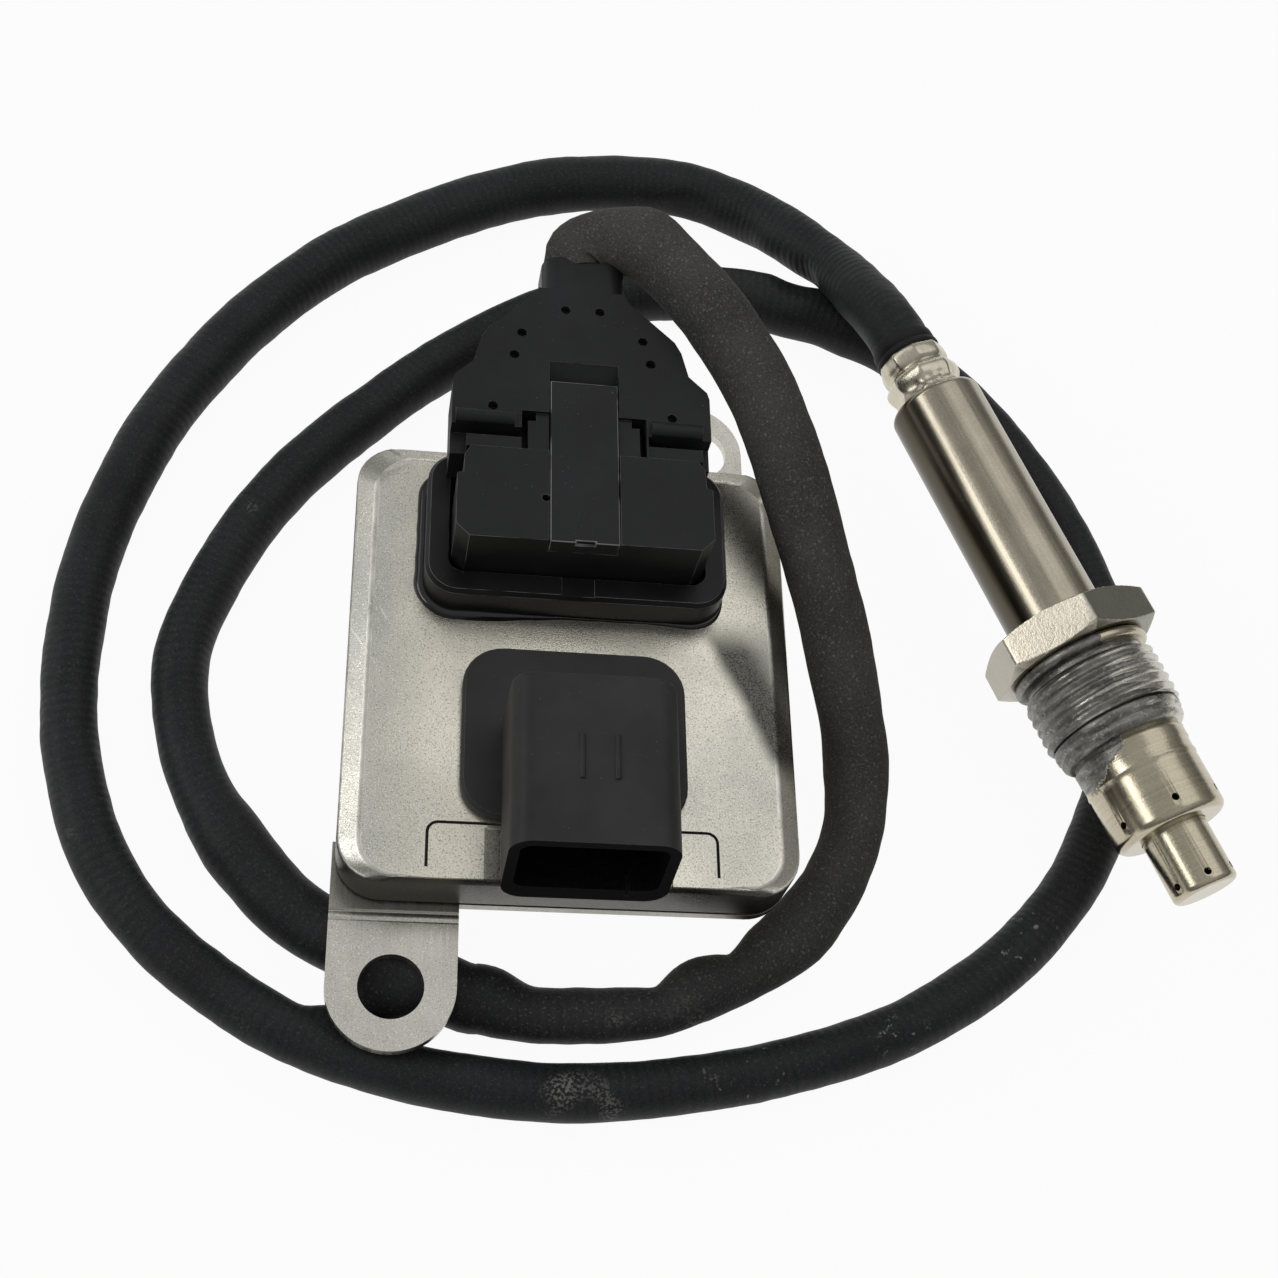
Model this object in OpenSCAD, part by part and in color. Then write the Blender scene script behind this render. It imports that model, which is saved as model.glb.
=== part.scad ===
// Nitrogen oxide sensor: a control unit in a pressed aluminium case, its plug and cable, and the
// screwed-in probe. The origin is the centre of the case's underside, +Z is up, and the free end
// of the near fixing ear points to -Y.

/* [Case] */
// Width of the case cover
case_w = 60; // [56:0.5:70]
// Length of the case cover, from the near wall to the far wall
case_l = 65; // [61:0.5:75]
// Height of the top face above the underside
case_h = 19; // [18.5:0.5:24]
// Radius of the case's upright corners
case_r = 6; // [4:0.5:9]
// Thickness of the pressed cover
cover_wall = 1.5; // [1.2:0.1:2]
// Width of the sloped border round the top face
bevel_w = 2.7; // [1.5:0.1:4]
// Drop of the sloped border
bevel_drop = 1.5; // [0.8:0.1:2.5]
// Depth of the fine U-shaped groove in the top face
groove_depth = 0.3; // [0.2:0.1:0.5]
// Depth of the trough below the hood
trough_depth = 0.5; // [0.2:0.1:0.7]
// Inset of the lower pan from the cover's sides
pan_inset = 4.5; // [4:0.5:7]
// Wall of the lower pan
pan_wall = 1.6; // [1.4:0.1:2]

/* [Mounting plate] */
// Thickness of the mounting plate
plate_t = 1.6; // [1.2:0.1:2]
// Height of the mounting plate's underside
plate_z = 8.8; // [8.8:0.1:10]
// Width of a fixing ear
ear_w = 16.6; // [15:0.2:20]
// Diameter of the fixing holes
ear_hole_d = 8.4; // [6.4:0.2:9]
// Distance from the near wall to the near hole
near_ear_reach = 11.1; // [10.5:0.1:14]
// Distance from the far wall to the far hole
far_ear_reach = 7.9; // [7:0.1:12]
// Length of the far hole, which is a slot
far_slot_l = 12; // [10:0.2:12.5]

/* [Sensor header] */
// Width of the header tray
tray_w = 41; // [40:0.5:44]
// Share of the case's length that the header tray takes
tray_share = 0.34; // [0.32:0.01:0.38]
// Height of the header tray above the cover
tray_h = 5; // [4:0.2:7]
// Corner radius of the header tray
tray_r = 4.5; // [3:0.5:6]

/* [Vehicle socket] */
// Width of the socket's flange
flange_w = 29.6; // [28:0.2:32]
// Share of the case's length that the socket's flange takes
flange_share = 0.377; // [0.34:0.001:0.4]
// Thickness of the socket's flange
flange_t = 1.5; // [1:0.1:2]
// Width of the hood
hood_w = 21; // [19:0.5:24]
// Height of the hood
hood_h = 15.3; // [13:0.1:18]
// Length of the hood
hood_l = 23; // [20:0.5:25]
// Wall of the hood
hood_wall = 1.4; // [1.2:0.1:2]
// Thickness of the hood's floor
hood_floor = 3; // [2:0.1:4]
// How far the hood's floor stands out past its roof
hood_lip = 1.3; // [0:0.1:2]
// Radius of the hood's long edges
hood_r = 3; // [2:0.5:4]
// Number of contact blades in the hood
blade_n = 5; // [3:1:6]

/* [Plug] */
// Width of the plug across its wings
plug_w = 34.2; // [33:0.2:36]
// Length of the plug's front block
plug_l = 14.1; // [13:0.1:16]
// Height of the plug's top face above the cover
plug_top = 14; // [12:0.5:16]
// Width of the locking strap
strap_w = 9.2; // [7:0.2:11]
// Thickness of the locking strap
strap_t = 2.6; // [2:0.1:3]
// Width of the back shell at its shoulders
shell_w = 35.3; // [34.5:0.1:38]
// Length of the back shell, from the front block to the end of its neck
shell_l = 33; // [31:0.5:35]
// Width of the back shell's neck
neck_w = 11.8; // [11:0.2:14]
// Diameter of the small holes in the back shell
weep_d = 1.4; // [0.8:0.1:1.6]

/* [Cable] */
// Outer diameter of the cable sleeve
cord_d = 8.4; // [7.6:0.1:8.6]

/* [Probe] */
// Height of the probe's axis
probe_z = 19; // [18.5:0.5:21]
// Diameter of the thin sleeve over the cable's end
boot_d = 9.6; // [9:0.2:11]
// Length of the crimped collar
collar_l = 10; // [9:0.5:12]
// Diameter of the crimped collar at its bands
collar_d = 10.6; // [9.8:0.2:12]
// Diameter of the probe's tube
tube_d = 14; // [13:0.2:15.5]
// Length of the probe's tube
tube_l = 40.5; // [36:0.5:46]
// Wall of the probe's tube
tube_wall = 0.8; // [0.5:0.1:1]
// Width of the hexagon across its flats
hex_af = 22; // [21:0.5:24]
// Height of the hexagon
hex_h = 5.6; // [5:0.1:8]
// Outer diameter of the thread
thread_d = 20; // [18:1:20]
// Length of the thread
thread_l = 8.6; // [8:0.1:12]
// Diameter of the outer shield
shield_d = 16.2; // [15:0.2:16.4]
// Length of the outer shield
shield_l = 15.6; // [14:0.2:18]
// Wall of the shields
shield_wall = 0.6; // [0.4:0.1:0.8]
// Diameter of the tip tube
tip_d = 9.2; // [8:0.2:10]
// Length of the tip tube outside the shield
tip_l = 9.2; // [8:0.2:12]
// Diameter of the gas holes
gas_d = 1; // [0.8:0.1:1.4]

/* [Hidden] */
$fn = 64;
eps = 0.01;
slip = 0.15; // clearance of parts that slide together

// Heights through the case
plate_top = plate_z + plate_t;
seal_t = 0.6;
cover_z = plate_top + seal_t;
shoulder_z = case_h - bevel_drop;
under_top = case_h - cover_wall;
pan_w = case_w - 2 * pan_inset - 1;
pan_l = case_l - 2 * pan_inset;
pan_seal_t = 0.5;
pan_h = plate_z - pan_seal_t;
window_w = pan_w - 2 * pan_wall - 1;
window_l = pan_l - 2 * pan_wall - 1;

// Places of the ears
near_ear_x = -(case_w / 2 - ear_w / 2 + 0.4);
near_ear_y = -(case_l / 2 + near_ear_reach);
far_ear_x = 18.4;
far_ear_y = case_l / 2 + far_ear_reach;

// The circuit board and what holds it
board_t = 1.6;
board_gap = 0.8;
board_w = case_w - 2 * cover_wall - 2 * board_gap;
board_l = case_l - 2 * cover_wall - 2 * board_gap;
board_z = plate_top + seal_t + 0.2;
board_top = board_z + board_t;
board_screw_x = window_w / 2 + 2;
board_screw_y = window_l / 2 + 1.4;
board_screw_d = 2.5;
case_screw_d = 2.5;
case_screw_head = 4.6;
case_screw_x = pan_w / 2 + case_screw_head / 2 + 0.2;
case_screw_y = pan_l / 4;
tab_r = 2.5;
tab_t = 1.6;

// The header tray and its pocket
tray_l = tray_share * case_l;
tray_margin = 4.5;
tray_y = case_l / 2 - tray_margin - tray_l / 2;
tray_wall = 4;
tray_z = case_h + 0.4;
tray_floor = 1.6;
bead_w = 3;
pocket_clear = 0.4;
tray_throat_w = tray_w - 2 * tray_wall;
tray_throat_l = tray_l - 2 * tray_wall;
lip_panel_w = 4.4;
lip_panel_t = 0.12;
pin_n = 5;
pin_pitch = 5;
pin_s = 1.2;
pin_row = 2.5;
terminal_h = 5;
seal_w = pin_n * pin_pitch + 3;
seal_l = 2 * pin_row + 5.2;

// The plug
plug_gap = 3.6;
plug_y = tray_y - tray_l / 2 + plug_gap;
plug_z = tray_z + tray_floor + 0.3;
plug_top_z = case_h + plug_top;
shell_y = plug_y + plug_l;
shell_z = tray_z + tray_h + 0.3;
neck_l = 7;
neck_bore_d = cord_d - 1.6;
cord_z = 28.5;
strap_x = -0.2;
strap_l = 25.5;
strap_channel_z = plug_top_z - strap_t - slip;
plug_chamfer = 1.8;
bar_r = 1.15;
shell_x = -0.45;
platform_l = 1.9;
platform_w = 16;
gap_end = 3.3;
bar_y = 4.4;
step_depth = 2.4;
latch_l = 6.1;
latch_w = 3;
latch_slot_w = 0.9;

// The vehicle socket
flange_l = flange_share * case_l;
flange_y = -flange_l / 2;
flange_r = 5.5;
flange_z = case_h + 0.3;
hood_x = 0.8;
hood_z = flange_z + 0.9;
hood_y0 = -case_l / 2 - 1;
hood_cavity_l = hood_l - 4;
blade_w = 1.6;
blade_t = 0.8;
blade_pitch = 3.1;
cavity_h = hood_h - hood_wall - hood_floor;
blade_z = hood_z + hood_floor + cavity_h / 2;
throat_w = flange_w - 9;
throat_l = flange_l - 9;
groove_w = 0.4;
groove_x = 18.7;
groove_far_y = -case_l / 2 + 7.8;
groove_near_y = -case_l / 2 + 1.7;
groove_r = 1.4;

// Stations along the probe, from the cable's end
tail_x = 51;
tail_y = 56.5;
probe_turn = -68.4;
boot_l = 2.2;
collar_s = 0.4;
tube_s = collar_s + collar_l;
hex_s = tube_s + tube_l;
hex_turn = 38.6;
relief_l = 3.1;
relief_d = thread_d - 3;
thread_s = hex_s + hex_h + relief_l;
thread_end = thread_s + thread_l;
spigot_d = shield_d - 2 * shield_wall;
spigot_l = 4;
bore_d = 12;
tip_s = thread_end + shield_l;
probe_end = tip_s + tip_l;
tip_bore_gap = 0.1;
lead_d = 1.4;
lead_l = 16.9;
lead_ring_r = 3.4;
element_s = 20;
element_w = 4.2;
element_t = 1.2;
seal_ring_t = 1.6;

// Points on the centre line of the cable, from the plug's neck to the probe
floor_z = 4.3;
route = [
    [0, 56.6, 28.5], [0, 61, 29], [3, 64.5, 31.5], [8.5, 60, 34], [15, 51.5, 35],
    [21.5, 41, 34.5], [27, 30.5, 31.5], [33, 15, 24.5], [38.5, 1, 15.5], [41.5, -9, 7.5],
    [40.8, -19, floor_z], [34, -31.5, floor_z], [21, -39.5, floor_z], [4, -44.7, floor_z],
    [-15, -42, floor_z], [-35, -32, floor_z], [-47.5, -16.5, floor_z], [-52.5, 3, floor_z],
    [-47, 22, floor_z], [-36, 39.5, floor_z], [-16, 59.5, floor_z], [3.5, 71.5, floor_z],
    [25, 75.3, floor_z], [45, 72, floor_z], [64, 59.5, floor_z], [78, 37, floor_z],
    [84.5, 12, floor_z], [81.5, -7, floor_z], [69.5, -28, floor_z], [49, -43.8, floor_z],
    [22, -52.5, floor_z], [-7, -54.5, floor_z], [-35, -47.5, floor_z], [-56.5, -31, floor_z],
    [-66, -8, floor_z], [-66, 20, floor_z], [-56.5, 48.5, floor_z], [-37, 74.5, floor_z],
    [-8, 93, floor_z], [15, 97, floor_z], [30, 92.5, 4.8], [41, 80.5, 9], [46.3, 69, 14.8],
    [49.2, 61, 18.6], [51, 56.5, 19]
];
ring_sides = 10;
ring_gap = 12;

// A flat shape with rounded corners, centred on the origin
module rounded(w, l, r) {
    for (x = [-1, 1], y = [-1, 1])
        translate([x * (w / 2 - r), y * (l / 2 - r)]) circle(r);
    square([w - 2 * r, l], center = true);
    square([w, l - 2 * r], center = true);
}

module slab(w, l, r, z0, z1) {
    translate([0, 0, z0]) linear_extrude(z1 - z0) rounded(w, l, r);
}

// A frame with rounded corners and a wall of the given width
module frame(w, l, r, wall, z0, z1) {
    difference() {
        slab(w, l, r, z0, z1);
        slab(w - 2 * wall, l - 2 * wall, max(r - wall, 0.5), z0 - 1, z1 + 1);
    }
}

module drill(x, y, d, z0, z1) {
    translate([x, y, z0]) cylinder(d = d, h = z1 - z0);
}

module at_case_screws() {
    for (x = [-1, 1], y = [-1, 1]) translate([x * case_screw_x, y * case_screw_y, 0]) children();
}

module at_board_screws() {
    for (x = [-1, 1], y = [-1, 1])
        translate([x * board_screw_x, y * board_screw_y, 0]) children();
}

module ear(x, y, inward) {
    translate([x, y]) circle(d = ear_w);
    translate([x - ear_w / 2, min(y, y + inward)]) square([ear_w, abs(inward)]);
}

module mounting_plate() {
    color([0.74, 0.74, 0.72])
    difference() {
        translate([0, 0, plate_z]) linear_extrude(plate_t) {
            rounded(case_w, case_l, case_r);
            ear(near_ear_x, near_ear_y, near_ear_reach + 8);
            ear(far_ear_x, far_ear_y, -far_ear_reach - 8);
        }
        slab(window_w, window_l, 4, plate_z - 1, plate_top + 1);
        drill(near_ear_x, near_ear_y, ear_hole_d, plate_z - 1, plate_top + 1);
        translate([far_ear_x, far_ear_y, plate_z - 1]) linear_extrude(plate_t + 2) {
            for (x = [-1, 1]) translate([x * (far_slot_l - ear_hole_d) / 2, 0])
                circle(d = ear_hole_d);
            square([far_slot_l - ear_hole_d, ear_hole_d], center = true);
        }
        at_case_screws() drill(0, 0, case_screw_d, plate_z - 1, plate_top + 1);
        at_board_screws() drill(0, 0, board_screw_d, plate_z - 1, plate_top + 1);
    }
}

// The deep-drawn cover: its top face has a sloped border on three sides
module cover_form(inset, top, drop_from) {
    hull() {
        slab(case_w - 2 * inset, case_l - 2 * inset, case_r - inset, cover_z - 1, drop_from);
        translate([0, -bevel_w / 2 + 0.15, 0])
            slab(case_w - 2 * inset - 2 * bevel_w, case_l - 2 * inset - bevel_w - 0.3,
                case_r - inset - 1, drop_from, top, $fn = 32);
    }
}

module u_groove() {
    translate([0, 0, case_h - groove_depth]) linear_extrude(groove_depth + 1) {
        for (x = [-1, 1]) {
            translate([x * groove_x - groove_w / 2, groove_near_y])
                square([groove_w, groove_far_y - groove_r - groove_near_y]);
            translate([x * (groove_x - groove_r), groove_far_y - groove_r]) intersection() {
                difference() {
                    circle(groove_r + groove_w / 2);
                    circle(groove_r - groove_w / 2);
                }
                translate([x > 0 ? 0 : -3, 0]) square(3);
            }
        }
        translate([-groove_x + groove_r, groove_far_y - groove_w / 2])
            square([2 * (groove_x - groove_r), groove_w]);
    }
}

module top_cover() {
    color([0.76, 0.76, 0.73])
    difference() {
        cover_form(0, case_h, shoulder_z, $fn = 32);
        cover_form(cover_wall, under_top, shoulder_z - cover_wall, $fn = 32);
        translate([0, 0, cover_z - 5]) cube([2 * case_w, 2 * case_l, 10], center = true);
        translate([0, tray_y, 0])
            slab(tray_throat_w + 2 * slip, tray_throat_l + 2 * slip, 3, under_top - 1, case_h + 1);
        translate([0, flange_y, 0])
            slab(throat_w + 2 * slip, throat_l + 2 * slip, 3, under_top - 1, case_h + 1);
        u_groove();
        translate([hood_x - hood_w / 2 - 1.4, -case_l / 2 - 1, case_h - trough_depth])
            cube([hood_w + 2.8, groove_far_y + case_l / 2 + 1, 2]);
    }
}

module cover_seal() {
    color([0.1, 0.1, 0.1])
    frame(case_w - 0.6, case_l - 0.6, case_r - 0.3, cover_wall - 0.1, plate_top, cover_z);
}

module bottom_cover() {
    color([0.72, 0.72, 0.7])
    difference() {
        union() {
            slab(pan_w, pan_l, case_r, 0, pan_h);
            at_case_screws() translate([0, 0, pan_h - tab_t]) cylinder(r = tab_r, h = tab_t);
            for (x = [-1, 1], y = [-1, 1])
                translate([x * (case_screw_x - tab_r / 2 - 0.3), y * case_screw_y,
                        pan_h - tab_t / 2])
                    cube([tab_r + 0.6, 2 * tab_r, tab_t], center = true);
        }
        slab(pan_w - 2 * pan_wall, pan_l - 2 * pan_wall, case_r - pan_wall, 1.8, pan_h + 1);
        at_case_screws() drill(0, 0, case_screw_d + 0.4, -1, pan_h + 1);
    }
}

module pan_seal() {
    color([0.1, 0.1, 0.1])
    frame(pan_w - 0.4, pan_l - 0.4, case_r - 0.2, pan_wall - 0.4, pan_h, plate_z);
}

module case_screws() {
    color([0.6, 0.6, 0.6])
    at_case_screws() {
        translate([0, 0, pan_h - tab_t - 1.6]) difference() {
            cylinder(d = case_screw_head, h = 1.6);
            translate([0, 0, -1]) cylinder(d = 2.4, h = 2, $fn = 6);
        }
        translate([0, 0, pan_h - tab_t])
            cylinder(d = case_screw_d, h = plate_top - pan_h + tab_t - 0.1);
    }
}

module circuit_board() {
    color([0.1, 0.35, 0.2])
    difference() {
        slab(board_w, board_l, case_r - cover_wall, board_z, board_top);
        at_board_screws() drill(0, 0, board_screw_d + 0.3, board_z - 1, board_top + 1);
        for (i = [0 : pin_n - 1], y = [-1, 1])
            translate([(i - (pin_n - 1) / 2) * pin_pitch, tray_y + y * pin_row, board_z - 1])
                cylinder(d = pin_s + 0.6, h = board_t + 2, $fn = 24);
        for (i = [0 : blade_n - 1])
            translate([hood_x + (i - (blade_n - 1) / 2) * blade_pitch, flange_y, board_z - 1])
                cylinder(d = 1.6 * blade_w, h = board_t + 2, $fn = 24);
    }
}

module board_components() {
    color([0.15, 0.15, 0.16]) {
        translate([-0.2 * window_w, -0.04 * window_l, board_z - 1.4]) cube([10, 10, 1.4]);
        translate([0.13 * window_w, 0.08 * window_l, board_z - 1.2]) cube([7, 5, 1.2]);
        translate([-0.44 * window_w, 0.23 * window_l, board_z - 2.4]) cube([7, 7, 2.4]);
        for (i = [0 : 3])
            translate([(0.19 * i - 0.37) * window_w, -0.37 * window_l, board_z - 3.4])
                cylinder(d = 6, h = 3.4);
        for (i = [0 : 4])
            translate([(0.063 * i + 0.18) * window_w, -0.24 * window_l, board_z - 1])
                cube([1.6, 3.2, 1]);
    }
}

module board_screws() {
    color([0.6, 0.6, 0.6])
    at_board_screws() {
        translate([0, 0, board_top]) cylinder(d = 4.4, h = 1.4);
        translate([0, 0, plate_z + 0.1]) cylinder(d = board_screw_d, h = board_top - plate_z - 0.1);
    }
}

module sensor_header() {
    color([0.08, 0.08, 0.09])
    translate([0, tray_y, 0]) difference() {
        union() {
            hull() {
                slab(tray_w, tray_l, tray_r, tray_z, tray_z + tray_h - 0.6, $fn = 32);
                slab(tray_w - 1, tray_l - 1, tray_r - 0.5, tray_z, tray_z + tray_h, $fn = 32);
            }
            slab(tray_throat_w, tray_throat_l, 2.8, board_top + 0.4, tray_z + 1);
        }
        translate([0, plug_y - tray_y + tray_l / 2 - pocket_clear, tray_z + tray_floor])
            linear_extrude(tray_h) rounded(plug_w + 2 * pocket_clear, tray_l, 2.2);
        translate([-lip_panel_w / 2, -tray_l / 2 - 1, tray_z + tray_h - lip_panel_t])
            cube([lip_panel_w, plug_gap + 1.5, 1]);
        for (i = [0 : pin_n - 1], y = [-1, 1])
            translate([(i - (pin_n - 1) / 2) * pin_pitch - pin_s / 2 - 0.02,
                    y * pin_row - pin_s / 2 - 0.02, board_top])
                cube([pin_s + 0.04, pin_s + 0.04, tray_h + 12]);
    }
}

module header_pins() {
    color([0.8, 0.7, 0.4])
    for (i = [0 : pin_n - 1], y = [-1, 1])
        translate([(i - (pin_n - 1) / 2) * pin_pitch - pin_s / 2,
                tray_y + y * pin_row - pin_s / 2, board_z - 0.8])
            cube([pin_s, pin_s, plug_z + terminal_h - board_z + 0.8]);
}

module header_seal() {
    color([0.04, 0.04, 0.04])
    translate([0, tray_y, 0])
        frame(tray_w + 0.9, tray_l + 0.9, tray_r + 0.4, bead_w, case_h, tray_z);
}

// The hood's outline, lying on its back: its height runs along Y
module hood_section(inset, r) {
    rounded(hood_w - 2 * inset, hood_h - 2 * inset, r);
}

module vehicle_socket() {
    color([0.1, 0.1, 0.11])
    difference() {
        union() {
            translate([0, flange_y, 0]) {
                hull() {
                    slab(flange_w, flange_l, flange_r, flange_z, flange_z + flange_t - 0.5,
                        $fn = 32);
                    slab(flange_w - 0.8, flange_l - 0.8, flange_r - 0.4, flange_z,
                        flange_z + flange_t, $fn = 32);
                }
                slab(throat_w, throat_l, 2.8, board_top + 0.4, flange_z + 1);
            }
            translate([hood_x, hood_y0 + hood_l, hood_z + hood_h / 2]) rotate([90, 0, 0]) {
                hull() {
                    linear_extrude(0.01) hood_section(1.1, hood_r - 1, $fn = 32);
                    translate([0, 0, 0.4]) linear_extrude(0.01)
                        hood_section(0.35, hood_r - 0.3, $fn = 32);
                    translate([0, 0, 1.2]) linear_extrude(0.01)
                        hood_section(0, hood_r, $fn = 32);
                }
                translate([0, 0, 1.2]) linear_extrude(hood_l + hood_lip - 1.2)
                    hood_section(0, hood_r);
            }
            for (x = [-1.95, 2.4])
                translate([hood_x + x, hood_y0 + 8.4, hood_z + hood_h - 0.1]) rotate([-90, 0, 0])
                    cylinder(d = 0.9, h = 5.8, $fn = 24);
        }
        translate([hood_x, hood_y0 + hood_cavity_l, hood_z + hood_floor + cavity_h / 2])
            rotate([90, 0, 0]) linear_extrude(hood_cavity_l + hood_lip + 1)
                rounded(hood_w - 2 * hood_wall, cavity_h, hood_r - hood_wall);
        // The sloped mouth
        translate([hood_x - hood_w, hood_y0, hood_z + hood_h])
            rotate([-atan(hood_lip / hood_h), 0, 0])
                translate([0, -5, -2 * hood_h]) cube([2 * hood_w, 5, 3 * hood_h]);
        translate([hood_x + 5, hood_y0 - hood_lip - 1, hood_z + hood_floor - 1.6])
            cube([0.6, 4, 3]);
        for (i = [0 : blade_n - 1]) {
            x = hood_x + (i - (blade_n - 1) / 2) * blade_pitch;
            translate([x - blade_w / 2 - 0.02, hood_y0 + 6, blade_z - blade_t / 2 - 0.02])
                cube([blade_w + 0.04, flange_y + blade_w / 2 - hood_y0 - 6 + 0.02,
                    blade_t + 0.04]);
            translate([x - blade_w / 2 - 0.02, flange_y - blade_w / 2 - 0.02, board_top])
                cube([blade_w + 0.04, blade_w + 0.04, blade_z + blade_t / 2 + 0.02 - board_top]);
        }
    }
}

module socket_pins() {
    color([0.8, 0.7, 0.4])
    for (i = [0 : blade_n - 1]) translate([hood_x + (i - (blade_n - 1) / 2) * blade_pitch, 0, 0]) {
        translate([-blade_w / 2, hood_y0 + 8, blade_z - blade_t / 2])
            cube([blade_w, flange_y + blade_w / 2 - hood_y0 - 8, blade_t]);
        translate([-blade_w / 2, flange_y - blade_w / 2, board_z - 0.8])
            cube([blade_w, blade_w, blade_z - blade_t / 2 - board_z + 0.8]);
    }
}

module socket_seal() {
    color([0.04, 0.04, 0.04])
    translate([0, flange_y, 0])
        frame(flange_w - 0.2, flange_l - 0.2, flange_r - 0.1, bead_w, case_h, flange_z);
}

// Half of the front block's outline, from its near face to the back
wing_half = [
    [plug_w / 2 - plug_chamfer, 0], [plug_w / 2, plug_chamfer], [plug_w / 2, plug_l - 4.6],
    [plug_w / 2 - 0.8, plug_l - 4.4], [plug_w / 2 - 0.9, plug_l - 1.6],
    [plug_w / 2 - 1.8, plug_l - 0.1]
];

module plug_housing() {
    color([0.09, 0.09, 0.1])
    difference() {
        translate([0, plug_y, plug_z]) linear_extrude(plug_top_z - plug_z)
            polygon(concat(wing_half, [for (i = [len(wing_half) - 1 : -1 : 0])
                [-wing_half[i].x, wing_half[i].y]]));
        drill(strap_x - strap_w / 2 - 0.6, plug_y + plug_l - 7.6, 1.1, plug_top_z - 2,
            plug_top_z + 1);
        translate([strap_x - strap_w / 2 - slip, plug_y - 1, strap_channel_z])
            cube([strap_w + 2 * slip, plug_l + 2, strap_t + 2]);
        translate([0, tray_y, plug_z - 1])
            linear_extrude(1 + terminal_h + 0.4)
                square([seal_w + 0.2, seal_l + 0.2], center = true);
    }
}

module plug_terminals() {
    color([0.8, 0.7, 0.4])
    for (i = [0 : pin_n - 1], y = [-1, 1])
        translate([(i - (pin_n - 1) / 2) * pin_pitch, tray_y + y * pin_row, plug_z + 0.4])
            difference() {
                translate([-pin_s, -pin_s, 0]) cube([2 * pin_s, 2 * pin_s, terminal_h]);
                translate([-pin_s / 2 - 0.05, -pin_s / 2 - 0.05, -1])
                    cube([pin_s + 0.1, pin_s + 0.1, terminal_h + 0.9]);
            }
}

module plug_seal() {
    color([0.5, 0.2, 0.1])
    translate([0, tray_y, 0])
        frame(seal_w, seal_l, 1.2, 1.1, tray_z + tray_floor, plug_z + 1.2);
}

// Half of the back shell's outline, from the shoulders to the neck
shell_half = [
    [shell_w / 2, 0], [shell_w / 2, 10.2], [shell_w / 2 - 0.3, 11.3], [shell_w / 2 - 2.8, 13.8],
    [shell_w / 2 - 3.7, 17.7], [shell_w / 2 - 4.6, 19.5],
    [neck_w / 2 + 0.7, shell_l - neck_l - 0.2], [neck_w / 2 + 0.2, shell_l - neck_l + 1.2]
];
// The small holes: distance from the middle, and from the shell's front
weep_holes = [[-2.7, 23.6], [2.1, 23.7], [-8.8, 19.1], [8.1, 19.2], [-9.8, 15.3], [9.1, 15.4],
    [-12.6, 6.5], [11.9, 6.6]];
// The bars: from and to
bars = [[-17.6, -9.7], [8.9, 15.9]];

module shell_outline() {
    polygon(concat(shell_half, [for (i = [len(shell_half) - 1 : -1 : 0])
        [-shell_half[i].x, shell_half[i].y]]));
}

module plug_back_shell() {
    color([0.08, 0.08, 0.09])
    translate([0, shell_y, 0]) difference() {
        union() {
            translate([shell_x, 0, shell_z]) linear_extrude(plug_top_z - shell_z)
                shell_outline();
            translate([0, shell_l - neck_l, cord_z]) rotate([-90, 0, 0]) linear_extrude(neck_l)
                rounded(neck_w, 2 * (plug_top_z - cord_z), 2.6);
            for (b = bars) translate([b[0], bar_y, plug_top_z]) rotate([0, 90, 0])
                cylinder(r = bar_r, h = b[1] - b[0]);
        }
        // The platforms behind the front block, and the gaps between them and the bars
        for (x = [-1, 1]) {
            step_x = strap_w / 2 + latch_w + latch_slot_w;
            translate([x > 0 ? step_x : -shell_w, -1, plug_top_z - 0.3])
                cube([shell_w - step_x, platform_l + 1.2, 2]);
            translate([x > 0 ? step_x : -shell_w, platform_l, plug_top_z - step_depth])
                cube([shell_w - step_x, gap_end - platform_l, 4]);
            translate([x > 0 ? platform_w : -platform_w - 5, -1, plug_top_z - step_depth])
                cube([5, gap_end + 1, 4]);
        }
        // The latch plates beside the strap, and the slots round them
        for (x = [-1, 1]) translate([strap_x + x * strap_w / 2, 0, 0]) {
            translate([x > 0 ? 0 : -latch_w - latch_slot_w, -1, plug_top_z - 0.5])
                cube([latch_w + latch_slot_w, latch_l + 1, 2]);
            translate([x > 0 ? latch_w : -latch_w - latch_slot_w, -1, plug_top_z - 4])
                cube([latch_slot_w, latch_l + 1, 6]);
            translate([x > 0 ? latch_w - 1.1 : -latch_w, latch_l - 1.3, plug_top_z - 2.5])
                cube([1.1, 1.3, 4]);
        }
        // The strap's bed and the recess behind it
        translate([strap_x - strap_w / 2 - slip, -1, plug_top_z - strap_t - slip])
            cube([strap_w + 2 * slip, strap_l - plug_l + 1 + slip, strap_t + 4]);
        hull() {
            translate([strap_x - strap_w / 2 - slip, strap_l - plug_l - 1, plug_top_z - 2.4])
                cube([strap_w + 2 * slip, 1.2, 4]);
            translate([strap_x - strap_w / 2 - slip, strap_l - plug_l + 3, plug_top_z - 0.1])
                cube([strap_w + 2 * slip, 0.2, 2]);
        }
        for (w = weep_holes) drill(w.x, w.y, weep_d, plug_top_z - 1.2, plug_top_z + 1);
        // The hollow that holds the leads, and the cable's entry
        translate([0, shell_l / 2 - 3, shell_z + 1.6]) linear_extrude(4)
            rounded(14, shell_l - 13, 2);
        translate([0, shell_l - neck_l - 4, cord_z]) rotate([-90, 0, 0])
            cylinder(d = neck_bore_d, h = neck_l + 5);
    }
}

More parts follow.
